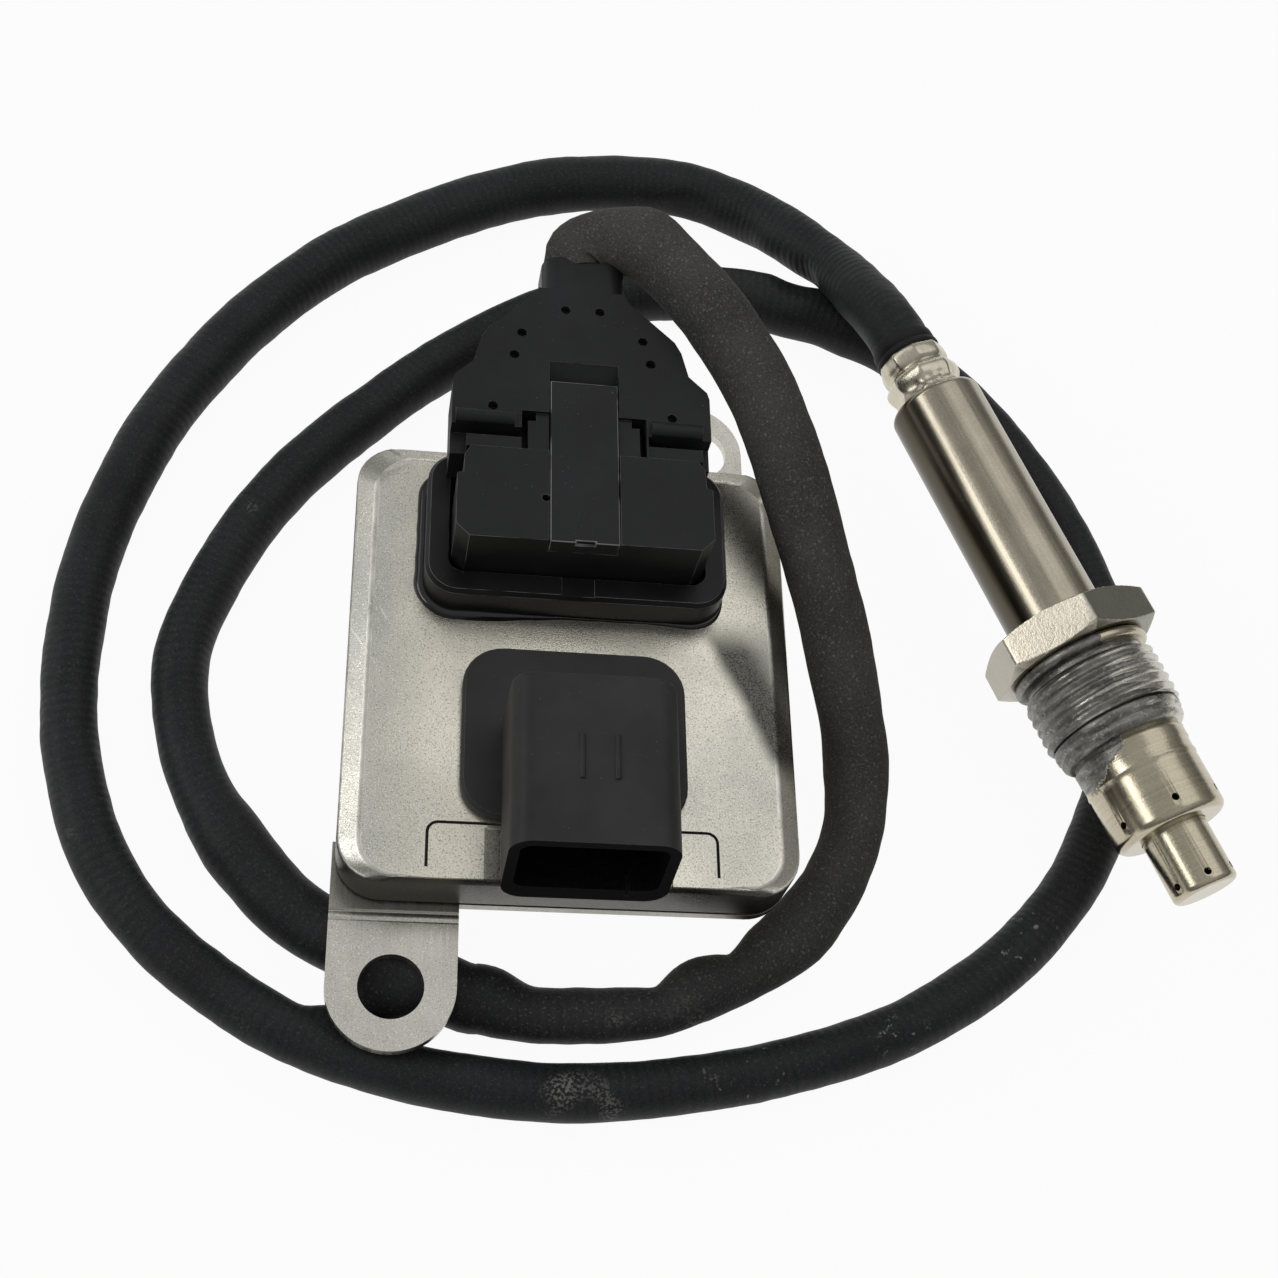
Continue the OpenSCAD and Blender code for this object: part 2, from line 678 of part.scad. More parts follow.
module neck_grommet() {
    color([0.12, 0.12, 0.12])
    translate([0, shell_y + shell_l - neck_l, cord_z]) rotate([-90, 0, 0]) difference() {
        cylinder(d = neck_bore_d - 0.2, h = neck_l - 0.5);
        for (a = [0 : 45 : 315]) rotate([0, 0, a]) translate([2.1, 0, -1])
            cylinder(d = 1.1, h = neck_l + 2, $fn = 24);
    }
}

module plug_lock_strap() {
    color([0.1, 0.1, 0.11])
    translate([strap_x, plug_y, 0]) difference() {
        translate([-strap_w / 2, -0.1, plug_top_z - strap_t])
            cube([strap_w, strap_l, strap_t]);
        translate([-1.2, -1, plug_top_z - 0.8]) cube([2.6, 1.2, 1]);
    }
}

// Smooth curve through four points of the route
function spline(a, b, c, d, t) = 0.5 * (2 * b + (c - a) * t + (2 * a - 5 * b + 4 * c - d) * t * t
    + (3 * b - a - 3 * c + d) * t * t * t);
function route_at(i) = route[max(0, min(len(route) - 1, i))];
centre_line = [for (i = [0 : len(route) - 2])
    let (steps = max(1, round(norm(route[i + 1] - route[i]) / ring_gap)))
    for (k = [0 : steps - 1])
        spline(route_at(i - 1), route[i], route[i + 1], route_at(i + 2), k / steps),
    route[len(route) - 1]];
probe_dir = [cos(probe_turn), sin(probe_turn), 0];
function unit(v) = v / norm(v);
function heading(i) = i == 0 ? [0, 1, 0] : i == len(centre_line) - 1 ? probe_dir
    : unit(centre_line[i + 1] - centre_line[i - 1]);
function side(i, last) = unit(last - (last * heading(i)) * heading(i));
function sides(i) = i == 0 ? [[1, 0, 0]] : let (s = sides(i - 1)) concat(s, [side(i, s[i - 1])]);
function ring(i, s) = [for (k = [0 : ring_sides - 1]) let (a = 360 * (k + 0.5) / ring_sides)
    centre_line[i] + cord_d / 2 * (cos(a) * s + sin(a) * cross(heading(i), s))];

module cable_sleeve() {
    n = len(centre_line);
    s = sides(n - 1);
    color([0.1, 0.1, 0.11])
    polyhedron(
        points = [for (i = [0 : n - 1]) each ring(i, s[i])],
        faces = concat(
            [[for (k = [0 : ring_sides - 1]) k]],
            [[for (k = [0 : ring_sides - 1]) (n - 1) * ring_sides + ring_sides - 1 - k]],
            [for (i = [0 : n - 2], k = [0 : ring_sides - 1]) let (m = (k + 1) % ring_sides)
                [i * ring_sides + k, (i + 1) * ring_sides + k,
                    (i + 1) * ring_sides + m, i * ring_sides + m]]));
}

// Puts a piece modelled along +Z, from the cable's end, on the probe's axis
module on_probe(s = 0) {
    translate([tail_x, tail_y, probe_z]) rotate([0, 0, probe_turn]) rotate([0, 90, 0])
        translate([0, 0, s]) children();
}

module cable_boot() {
    color([0.05, 0.05, 0.05])
    on_probe() difference() {
        cylinder(d = boot_d, h = boot_l + 4);
        translate([0, 0, -1]) cylinder(d = cord_d - 2.2, h = boot_l + 6);
        translate([0, 0, boot_l]) difference() {
            cylinder(d = boot_d + 1, h = 5);
            translate([0, 0, -1]) cylinder(d = boot_d - 1.2, h = 7);
        }
    }
}

module crimp_collar() {
    inner = (boot_d - 1.2) / 2 + 0.02;
    r = collar_d / 2;
    color([0.62, 0.6, 0.55])
    on_probe(boot_l + 0.02) rotate_extrude() polygon([
        [inner, 0], [r - 0.3, 0], [r, 0.4], [r, 2], [r - 0.6, 2.6], [r - 0.6, 3], [r, 3.6],
        [r, 5.2], [r - 0.5, 5.8], [r - 0.5, collar_l - boot_l - 1], [tube_d / 2 - 1.2,
            collar_l - boot_l - 0.2], [inner, collar_l - boot_l - 0.2]]);
}

module tube_grommet() {
    color([0.85, 0.85, 0.83])
    on_probe(tube_s + 1.4) difference() {
        cylinder(d = tube_d - 2 * tube_wall - 0.1, h = 8);
        for (a = [0 : 45 : 315]) rotate([0, 0, a]) translate([lead_ring_r, 0, -1])
            cylinder(d = lead_d + 0.1, h = 10, $fn = 24);
    }
}

module body_tube() {
    r = tube_d / 2;
    color([0.64, 0.62, 0.57])
    on_probe(tube_s) rotate_extrude() polygon(concat(
        [for (a = [90 : -15 : 0]) [r - 1.2 + 1.2 * cos(a), 1.2 - 1.2 * sin(a)]],
        [[r, tube_l - 0.02], [r - tube_wall, tube_l - 0.02], [r - tube_wall, 1.3],
            [r - 1.6, tube_wall], [collar_d / 2 - 1.2, tube_wall], [collar_d / 2 - 1.2, 0]]));
}

module contact_holder() {
    color([0.9, 0.89, 0.85])
    on_probe(tube_s + 14) difference() {
        cylinder(d = tube_d - 2 * tube_wall - 0.4, h = 16);
        translate([-element_w / 2 - 0.3, -element_t / 2 - 0.5, 4])
            cube([element_w + 0.6, element_t + 1, 14]);
        for (a = [0 : 45 : 315]) rotate([0, 0, a]) translate([lead_ring_r, 0, -1])
            cylinder(d = lead_d + 0.1, h = 5, $fn = 24);
    }
}

module lead_wires() {
    color([0.7, 0.3, 0.2])
    on_probe(tube_s + 1) for (a = [0 : 45 : 315]) rotate([0, 0, a]) translate([lead_ring_r, 0, 0])
        cylinder(d = lead_d, h = lead_l, $fn = 24);
}

module hex_body() {
    af_r = hex_af / 2 / cos(30);
    color([0.66, 0.64, 0.6])
    on_probe(hex_s) difference() {
        union() {
            intersection() {
                rotate([0, 0, hex_turn - 90]) cylinder(r = af_r, h = hex_h, $fn = 6);
                rotate_extrude() polygon([[0, 0], [hex_af / 2 - 0.2, 0], [af_r, 0.8],
                    [af_r, hex_h - 0.8], [hex_af / 2 - 0.2, hex_h], [0, hex_h]]);
            }
            translate([0, 0, hex_h - eps]) cylinder(d = relief_d, h = relief_l + 2 * eps);
            rotate_extrude() polygon([[0, hex_h], [relief_d / 2, hex_h + relief_l],
                [thread_d / 2, hex_h + relief_l + 1], [thread_d / 2,
                    hex_h + relief_l + thread_l - 1], [thread_d / 2 - 1,
                    hex_h + relief_l + thread_l], [0, hex_h + relief_l + thread_l]]);
            translate([0, 0, hex_h + relief_l + thread_l - eps]) cylinder(d = spigot_d - 0.04,
                h = spigot_l);
        }
        translate([0, 0, -1]) cylinder(d = bore_d, h = hex_h + relief_l + thread_l + spigot_l + 2);
    }
}

module seal_ring() {
    color([0.75, 0.73, 0.68])
    on_probe(hex_s + hex_h) rotate_extrude() polygon([
        [relief_d / 2 + 0.05, 0.02], [thread_d / 2 - 0.4, 0.02], [thread_d / 2, 0.5],
        [thread_d / 2, seal_ring_t - 0.4], [thread_d / 2 - 0.4, seal_ring_t],
        [relief_d / 2 + 0.05, seal_ring_t]]);
}

module rear_bush() {
    color([0.92, 0.91, 0.88])
    on_probe(hex_s + 0.4) difference() {
        cylinder(d = bore_d - 0.1, h = 5);
        translate([-element_w / 2 - 0.2, -element_t / 2 - 0.1, -1])
            cube([element_w + 0.4, element_t + 0.2, 7]);
    }
}

module talc_ring() {
    color([0.8, 0.78, 0.72])
    on_probe(hex_s + 5.4) difference() {
        cylinder(d = bore_d - 0.1, h = 4);
        translate([-element_w / 2 - 0.2, -element_t / 2 - 0.1, -1])
            cube([element_w + 0.4, element_t + 0.2, 7]);
    }
}

module front_bush() {
    color([0.92, 0.91, 0.88])
    on_probe(hex_s + 9.4) difference() {
        cylinder(d = bore_d - 0.1, h = 6);
        translate([-element_w / 2 - 0.2, -element_t / 2 - 0.1, -1])
            cube([element_w + 0.4, element_t + 0.2, 8]);
    }
}

module sensing_element() {
    color([0.95, 0.94, 0.9])
    on_probe(tube_s + element_s) translate([-element_w / 2, -element_t / 2, 0])
        cube([element_w, element_t, tip_s + 2 - tube_s - element_s]);
}

module gas_holes(r, n, z, turn) {
    for (i = [0 : n - 1]) rotate([0, 0, turn + i * 360 / n]) translate([r - 2, 0, z])
        rotate([0, 90, 0]) cylinder(d = gas_d, h = 4, $fn = 24);
}

module outer_shield() {
    r = shield_d / 2;
    hole_r = tip_d / 2 + tip_bore_gap;
    color([0.72, 0.69, 0.62])
    on_probe(thread_end + 0.02) difference() {
        rotate_extrude() polygon(concat(
            [[r, 0], [r, 4.8], [r - 0.15, 5], [r - 0.15, shield_l - 1.2]],
            [for (a = [15 : 15 : 90]) [r - 1.35 + 1.2 * cos(a), shield_l - 1.2 + 1.2 * sin(a)]],
            [[hole_r, shield_l], [hole_r, shield_l - shield_wall],
                [r - 1.6, shield_l - shield_wall], [r - shield_wall - 0.15, shield_l - 1.6],
                [r - shield_wall - 0.15, 5], [r - shield_wall, 4.6], [r - shield_wall, 0]]));
        gas_holes(r, 6, shield_l - 2.6, 14);
    }
}

module inner_shield() {
    r = tip_d / 2;
    l = probe_end - thread_end - spigot_l;
    color([0.72, 0.69, 0.62])
    on_probe(thread_end + spigot_l + 0.02) difference() {
        rotate_extrude() polygon(concat(
            [[spigot_d / 2 - 0.1, 0], [spigot_d / 2 - 0.1, 0.6], [r, 0.6], [r, l - 0.8]],
            [for (a = [15 : 15 : 90]) [r - 0.8 + 0.8 * cos(a), l - 0.82 + 0.8 * sin(a)]],
            [[0, l - 0.02], [0, l - 0.6], [r - shield_wall, l - 0.6], [r - shield_wall, 0]]));
        gas_holes(r, 6, l - 1.8, 14);
        gas_holes(r, 6, 3, 30);
    }
}

mounting_plate();
bottom_cover();
top_cover();
cover_seal();
pan_seal();
case_screws();
circuit_board();
board_components();
board_screws();
sensor_header();
header_pins();
header_seal();
vehicle_socket();
socket_pins();
socket_seal();
plug_housing();
plug_back_shell();
plug_lock_strap();
plug_terminals();
plug_seal();
neck_grommet();
cable_sleeve();
cable_boot();
crimp_collar();
tube_grommet();
body_tube();
contact_holder();
lead_wires();
hex_body();
seal_ring();
rear_bush();
talc_ring();
front_bush();
sensing_element();
outer_shield();
inner_shield();
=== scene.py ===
"""Dresses the nitrogen oxide sensor: its control unit, plug, sleeved cable and screw-in probe."""

import math

import bmesh
import bpy
from mathutils import Matrix, Vector, noise


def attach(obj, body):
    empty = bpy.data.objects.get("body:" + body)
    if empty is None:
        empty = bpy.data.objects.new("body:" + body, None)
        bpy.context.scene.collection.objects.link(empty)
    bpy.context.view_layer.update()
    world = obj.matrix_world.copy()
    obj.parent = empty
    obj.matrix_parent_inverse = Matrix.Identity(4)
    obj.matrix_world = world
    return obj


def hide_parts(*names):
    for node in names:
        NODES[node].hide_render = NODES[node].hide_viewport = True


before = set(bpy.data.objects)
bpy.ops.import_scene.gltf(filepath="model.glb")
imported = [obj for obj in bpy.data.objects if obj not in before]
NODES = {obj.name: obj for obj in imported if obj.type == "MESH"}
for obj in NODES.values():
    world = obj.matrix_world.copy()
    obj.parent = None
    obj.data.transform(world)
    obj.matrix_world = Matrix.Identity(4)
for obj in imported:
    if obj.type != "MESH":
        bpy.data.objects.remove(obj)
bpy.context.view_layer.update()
MM = 0.001

# The photograph's camera: focal length in pixels of a 1278 pixel frame, place in millimetres.
FOCAL_PX = 1884.6
FRAME_PX = 1278
SENSOR_MM = 36
CAMERA_AT = Vector((-29.84, -118.13, 240.92))
CAMERA_PITCH = 1.04918
CAMERA_YAW = 0.30952
CAMERA_ROLL = 0.3302

# The cable's centre line from the plug's neck to the probe, with the sleeve's width at each point.
# FLOOR is the height of its middle where it lies on the floor, and LEAST_Z that of its underside.
FLOOR = 4.3
LEAST_Z = 0.02
ROUTE = [
    (0, 56.6, 28.6, 9.2), (0, 59.1, 29.2, 10.8), (3, 61.1, 31.0, 10.2), (8.5, 59, 34, 10.0),
    (15, 51.2, 35, 10.0), (21.5, 41, 34.5, 10.0), (27, 30.5, 31.5, 10.0), (33, 15, 24.5, 9.6),
    (38.5, 1, 15.5, 9.2), (41.5, -9, 7.5, 8.8), (40.8, -19, FLOOR, 8.6),
    (34.6, -30.4, FLOOR, 8.6), (29, -35.3, FLOOR, 8.8), (24.6, -38.7, 3.6, 6.9),
    (21, -40, 4.1, 7.9), (17.9, -41.2, 4.2, 8.3), (14, -43.4, 3.4, 6.5), (9.5, -44.2, 3.5, 6.9),
    (3.8, -44.7, 3.7, 7.2), (-4, -44.7, 3.7, 7.3), (-9.6, -43.1, FLOOR, 9.0),
    (-15, -41.8, FLOOR, 8.8), (-35, -32, FLOOR, 8.8), (-47.5, -16.5, FLOOR, 7.8),
    (-52.5, 3, FLOOR, 7.7), (-47, 22, FLOOR, 7.8), (-36, 39.5, FLOOR, 8.0),
    (-16, 59.5, FLOOR, 8.2), (3.5, 71.7, FLOOR, 8.4), (25, 75.9, FLOOR, 9.3),
    (45, 72.3, FLOOR, 8.8), (64, 59.5, FLOOR, 8.2), (78, 37, FLOOR, 8.2), (84.5, 12, FLOOR, 8.0),
    (81.5, -7, FLOOR, 7.8), (69.5, -28, FLOOR, 7.6), (49, -43.8, FLOOR, 7.5),
    (22, -52.5, FLOOR, 7.4), (-7, -54.5, FLOOR, 7.4), (-35, -47.5, FLOOR, 7.4),
    (-56.5, -31, FLOOR, 7.5), (-66, -8, FLOOR, 7.6), (-66, 20, FLOOR, 8.0),
    (-56.5, 48.5, FLOOR, 8.4), (-37, 74.5, FLOOR, 8.8), (-8, 93, FLOOR, 9.3),
    (15.3, 97.7, FLOOR, 9.3), (30.9, 93.4, 4.8, 9.2), (42.2, 81.3, 9, 8.6),
    (46.9, 69.4, 14.8, 8.7), (49.3, 61.1, 18.6, 9.0), (51, 56.5, 19, 9.2),
]
RING_GAP = 0.9
RING_SIDES = 40
# Folds and lumps of the sleeve: place, reach and how far it stands out there, or in.
LUMPS = [
    ((31, -28, 6), 6, 0.8), ((36.5, -24.5, 7), 6, 0.4), ((-23, -44.8, 2), 7, 3.0),
    ((-27.5, -44.5, 3), 6, 2.6), ((-41, -22, 5), 10, 0.8), ((41.5, -9, 9), 8, 0.5),
    ((33, 84.5, 7), 4, 0.6),
    ((38, 76.5, 8), 5, -1.3), ((27.5, 86, 6), 5, -0.4), ((20.5, 90, 6), 6, -1.3),
    ((36, 70, 5), 8, 0.9), ((45.5, 66.5, 6), 8, 0.7), ((-1.5, 61, 31), 5, 0.7),
    ((4.5, 59.5, 34), 4, -0.9), ((9.5, 61, 36), 6, 0.6),
]
# Bits of lint caught on it: place and reach.
LINT = [((63.6, -33.1, 7.5), 7), ((44.6, -46, 7.5), 5), ((24.3, -52.5, 7.5), 8)]
# The near ear lies over the cable here: x from and to, y from and to, and its underside.
UNDER_EAR = (-32, -13, -54, -31, 8.7)

# The middle of the hood's mouth, across and up, and its half width and height.
MOUTH_AT = (0.8, 28.65, 9.25, 5.6)

# The probe's axis, stations along it from the cable's end, and its diameters.
PROBE_TAIL = Vector((51, 56.5, 19))
PROBE_TURN = math.radians(-68.4)
HEX_START = 50.9
HEX_HEIGHT = 5.6
HEX_FLATS = 22
HEX_TURN = math.radians(8.6)
HEX_CHAMFER = 0.8
BORE_R = 6.6
THREAD_START = 59.2
THREAD_END = 67.2
RING_END = 70.6
THREAD_D = 20
THREAD_PITCH = 1.5
SHIELD_D = 16.2

# The cover's top with its groove, the tray on it and the bead round the tray.
TOP_Z = 19
GROOVE_DEPTH = 0.3
GROOVE_DEEPER = 0.45
HALF_GROOVE = 18.7
BEAD_STEPS = 240
BEAD_SIDES = 12
TRAY_W = 41
TRAY_L = 22.1
TRAY_Y = 16.95
TRAY_R = 4.5
# The slanting line past which the painted dark reflection on the cover starts: its direction
# across, and how far out it lies.
REFLECTION_ACROSS = (0.898, 0.44)
REFLECTION_FROM = 18
# The fold lines across the near ear: where each starts, and how far the sheet drops from there.
FOLDS = [(-33.5, 0), (-33.65, -0.38), (-33.95, -0.38), (-34.1, -0.05), (-34.7, -0.08),
         (-34.85, -0.3), (-35.0, -0.3), (-35.15, -0.15)]


def camera_pose():
    """Where the camera stands and how it is turned, with its roll."""
    ahead = Vector((math.sin(CAMERA_YAW) * math.cos(CAMERA_PITCH),
                    math.cos(CAMERA_YAW) * math.cos(CAMERA_PITCH), -math.sin(CAMERA_PITCH)))
    level = Vector((math.cos(CAMERA_YAW), -math.sin(CAMERA_YAW), 0))
    upright = level.cross(ahead)
    right = level * math.cos(CAMERA_ROLL) + upright * math.sin(CAMERA_ROLL)
    up = upright * math.cos(CAMERA_ROLL) - level * math.sin(CAMERA_ROLL)
    turn = Matrix((right, up, -ahead)).transposed().to_4x4()
    return Matrix.Translation(CAMERA_AT * MM) @ turn


camera = bpy.data.objects.new("camera", bpy.data.cameras.new("camera"))
camera.data.sensor_width = SENSOR_MM
camera.data.lens = FOCAL_PX / FRAME_PX * SENSOR_MM
camera.data.clip_start = 0.01
camera.matrix_world = camera_pose()
bpy.context.scene.collection.objects.link(camera)
bpy.context.scene.camera = camera


def add(tree, kind, inputs=None, **settings):
    """A shader node with its settings, and its inputs set or linked."""
    made = tree.nodes.new("ShaderNode" + kind)
    for name, value in settings.items():
        setattr(made, name, value)
    for name, value in (inputs or {}).items():
        if isinstance(value, bpy.types.NodeSocket):
            tree.links.new(value, made.inputs[name])
        else:
            made.inputs[name].default_value = value
    return made


def new_finish(name, roughness=0.5, metallic=0.0, specular=0.5):
    """A material, its node tree and its shader."""
    finish = bpy.data.materials.new(name)
    finish.use_nodes = True
    shader = finish.node_tree.nodes["Principled BSDF"]
    shader.inputs["Roughness"].default_value = roughness
    shader.inputs["Metallic"].default_value = metallic
    shader.inputs["Specular IOR Level"].default_value = specular
    return finish, finish.node_tree, shader


def object_place(tree, stretch=(1, 1, 1), turn=(0, 0, 0), centre=(0, 0, 0)):
    """Object coordinates in metres, centred and turned, then stretched."""
    place = add(tree, "TexCoord").outputs["Object"]
    placed = add(tree, "Mapping", {"Vector": place, "Location": centre, "Rotation": turn},
                 vector_type="TEXTURE")
    return add(tree, "VectorMath", {0: placed.outputs[0], 1: stretch},
               operation="MULTIPLY").outputs[0]


def probe_place(tree, stretch=(1, 1, 1)):
    """Coordinates whose X runs along the probe's axis."""
    return object_place(tree, stretch, (0, 0, PROBE_TURN), PROBE_TAIL * MM)


def grain(tree, place, scale, detail=2.0, roughness=0.5):
    """Soft random patches, with scale cells to a metre where the place isn't stretched."""
    return add(tree, "TexNoise", {"Vector": place, "Scale": scale, "Detail": detail,
                                  "Roughness": roughness}).outputs["Fac"]


def band(tree, value, low, high, to_low=0.0, to_high=1.0):
    """value between low and high becomes to_low to to_high, and stays there outside."""
    return add(tree, "MapRange", {"Value": value, "From Min": low, "From Max": high,
                                  "To Min": to_low, "To Max": to_high}).outputs["Result"]


def math_node(tree, operation, a, b=0.0):
    """The operation on a and b."""
    return add(tree, "Math", {0: a, 1: b}, operation=operation).outputs[0]


def soft_step(tree, value, low, high, least=0.0):
    """least at low rising to 1 at high, with soft ends."""
    return add(tree, "MapRange", {"Value": value, "From Min": low, "From Max": high,
                                  "To Min": least, "To Max": 1.0},
               interpolation_type="SMOOTHSTEP").outputs["Result"]


def box_mask(tree, *sides):
    """1 inside the box given by each coordinate, its middle and its half width."""
    mask = 1.0
    for value, middle, half in sides:
        off = math_node(tree, "ABSOLUTE", math_node(tree, "SUBTRACT", value, middle))
        mask = math_node(tree, "MULTIPLY", band(tree, off, half, half - 0.0001), mask)
    return mask


def blend(tree, factor, first, second):
    """A colour between first and second."""
    mixed = tree.nodes.new("ShaderNodeMix")
    mixed.data_type = "RGBA"
    for socket, value in ((mixed.inputs[0], factor), (mixed.inputs[6], first),
                          (mixed.inputs[7], second)):
        if isinstance(value, bpy.types.NodeSocket):
            tree.links.new(value, socket)
        elif socket is mixed.inputs[0]:
            socket.default_value = value
        else:
            socket.default_value = (*value, 1)
    return mixed.outputs[2]


def relief(tree, shader, height, depth, strength=1.0):
    """Bumps of the given depth in metres, over any that the shader has."""
    bump = add(tree, "Bump", {"Height": height, "Distance": depth, "Strength": strength})
    for link in shader.inputs["Normal"].links:
        tree.links.new(link.from_socket, bump.inputs["Normal"])
    tree.links.new(bump.outputs[0], shader.inputs["Normal"])


def painted_edge_highlights(tree, place, scale, low, high):
    """Where a highlight is painted along a bevelled edge, in broken lengths."""
    edge = add(tree, "Attribute", attribute_name="edge_highlight").outputs["Fac"]
    return math_node(tree, "MULTIPLY", edge, band(tree, grain(tree, place, scale, 2), low, high))


def wire_to(tree, value, shader, socket):
    """Feeds the value to the shader's socket."""
    tree.links.new(value, shader.inputs[socket])


def pressed_aluminium():
    """Warm silver sheet, a little wavy from the press, with fine speckle and hairlines, and with
    painted reflections, painted shade and painted edge highlights.
    """
    finish, tree, shader = new_finish("pressed_aluminium", 0.3, 1.0)
    place = object_place(tree)
    apart = add(tree, "SeparateXYZ", {0: place})
    x, y, z = apart.outputs[0], apart.outputs[1], apart.outputs[2]
    speckle = grain(tree, place, 4200, 2, 0.6)
    glints = grain(tree, place, 5000, 1, 0.5)
    clouds = grain(tree, place, 70, 3, 0.6)
    zones = grain(tree, object_place(tree, (34, 22, 10), (0, 0, 0.5)), 1, 2, 0.5)
    waves = grain(tree, object_place(tree, (46, 30, 10), (0, 0, 0.6)), 1, 1, 0.4)
    marks = grain(tree, object_place(tree, (150, 3600, 90), (0, 0, 2.1)), 1, 1, 0.5)
    # Painted reflection: the sheet is made greyer toward its left side and in broad patches, and
    # its tone also varies at random in clouds.
    tone_and_grey_reflection = math_node(tree, "ADD", band(tree, zones, 0.5, 0.7, 0, 0.6),
                       band(tree, x, -0.018, -0.025, 0, 0.55))
    tone_and_grey_reflection = math_node(tree, "MINIMUM", math_node(tree, "ADD", tone_and_grey_reflection, band(
        tree, clouds, 0.35, 0.65, -0.15, 0.15)), 1.0)
    tone = blend(tree, tone_and_grey_reflection, (0.74, 0.71, 0.60), (0.50, 0.495, 0.46))
    spotted = blend(tree, band(tree, speckle, 0.55, 0.68), tone, (0.37, 0.36, 0.315))
    bright = blend(tree, band(tree, glints, 0.6, 0.7), spotted, (0.9, 0.88, 0.8))
    scratched = blend(tree, band(tree, marks, 0.72, 0.78, 0, 0.5), bright, (0.92, 0.9, 0.83))
    # Painted highlight along the bevelled edges, in broken lengths.
    edge = painted_edge_highlights(tree, place, 300, 0.3, 0.6)
    edge_highlighted = blend(tree, edge, scratched, (0.82, 0.8, 0.73))
    wire_to(tree, band(tree, math_node(tree, "ADD", clouds, speckle), 0.7, 1.3, 0.24, 0.4),
            shader, "Roughness")
    # Painted dark reflection: past a slanting line toward the panel's right side the colour is
    # made darker, less so toward its ends and far past the line.
    slant = math_node(tree, "ADD", math_node(tree, "MULTIPLY", x, REFLECTION_ACROSS[0]),
                      math_node(tree, "MULTIPLY", y, REFLECTION_ACROSS[1]))
    uneven = math_node(tree, "MULTIPLY", clouds, 0.0024)
    past = math_node(tree, "SUBTRACT", math_node(tree, "ADD", slant, uneven), REFLECTION_FROM * MM)
    reflection_edge = soft_step(tree, past, 0.0, 0.0024)
    fading = math_node(tree, "MULTIPLY", soft_step(tree, y, 0.0085, 0.0015),
                       soft_step(tree, y, -0.019, -0.0125))
    lifting = soft_step(tree, past, 0.009, 0.0045, 0.55)
    painted_dark = math_node(tree, "MULTIPLY", math_node(tree, "MULTIPLY", reflection_edge, fading), lifting)
    painted_dark = math_node(tree, "MULTIPLY", painted_dark, band(tree, speckle, 0.4, 0.64, 1.0, 0.8))
    # Painted shade on the near edge beside the hood, over the trough there.
    trough_shade = box_mask(tree, (x, -0.0104, 0.0011), (y, -0.0293, 0.0041), (z, 0.0185, 0.0024))
    painted_dark = math_node(tree, "MAXIMUM", painted_dark, math_node(tree, "MULTIPLY", trough_shade, band(
        tree, speckle, 0.34, 0.6, 0.85, 0.5)))
    with_painted_dark = blend(tree, painted_dark, edge_highlighted, (0.045, 0.045, 0.042))
    # Painted shade on the walls below the top's edge, all round but for the left.
    wall_shade = math_node(tree, "MAXIMUM", soft_step(tree, z, 0.0178, 0.0172), math_node(
        tree, "MULTIPLY", band(tree, y, -0.0318, -0.0321), band(tree, z, 0.0189, 0.0186)))
    where = math_node(tree, "MAXIMUM", band(tree, x, -0.029, -0.026, 0.1, 0.88),
                      soft_step(tree, y, -0.022, -0.029))
    wall_shade = math_node(tree, "MULTIPLY", wall_shade, where)
    wire_to(tree, blend(tree, wall_shade, with_painted_dark, (0.095, 0.089, 0.077)), shader, "Base Color")
    relief(tree, shader, waves, 0.0010, 0.5)
    relief(tree, shader, math_node(tree, "ADD", speckle, glints), 0.00003, 0.5)
    return finish


def plate_steel():
    """Satin sheet of the mounting plate and its ears."""
    finish, tree, shader = new_finish("plate_steel", 0.34, 1.0)
    place = object_place(tree)
    brushed = grain(tree, object_place(tree, (1600, 60, 60)), 1, 3, 0.6)
    speckle = grain(tree, place, 4200, 2, 0.6)
    glints = grain(tree, place, 5000, 1, 0.5)
    clouds = grain(tree, place, 90, 2)
    tone = blend(tree, band(tree, brushed, 0.3, 0.7), (0.58, 0.565, 0.5), (0.67, 0.655, 0.59))
    spotted = blend(tree, band(tree, speckle, 0.57, 0.7), tone, (0.36, 0.35, 0.31))
    bright = blend(tree, band(tree, glints, 0.6, 0.7), spotted, (0.88, 0.86, 0.79))
    y = add(tree, "SeparateXYZ", {0: place}).outputs[1]
    # Painted shade on a band along the plate's near side, at the cover's near wall.
    near_side_shade = box_mask(tree, (y, -0.0268, 0.007))
    wire_to(tree, blend(tree, math_node(tree, "MULTIPLY", near_side_shade, 0.6), bright,
                        (0.2, 0.19, 0.165)), shader, "Base Color")
    wire_to(tree, band(tree, math_node(tree, "ADD", brushed, clouds), 0.7, 1.3, 0.26, 0.42),
            shader, "Roughness")
    relief(tree, shader, clouds, 0.0006, 0.5)
    relief(tree, shader, math_node(tree, "ADD", brushed, speckle), 0.00003, 0.4)
    return finish


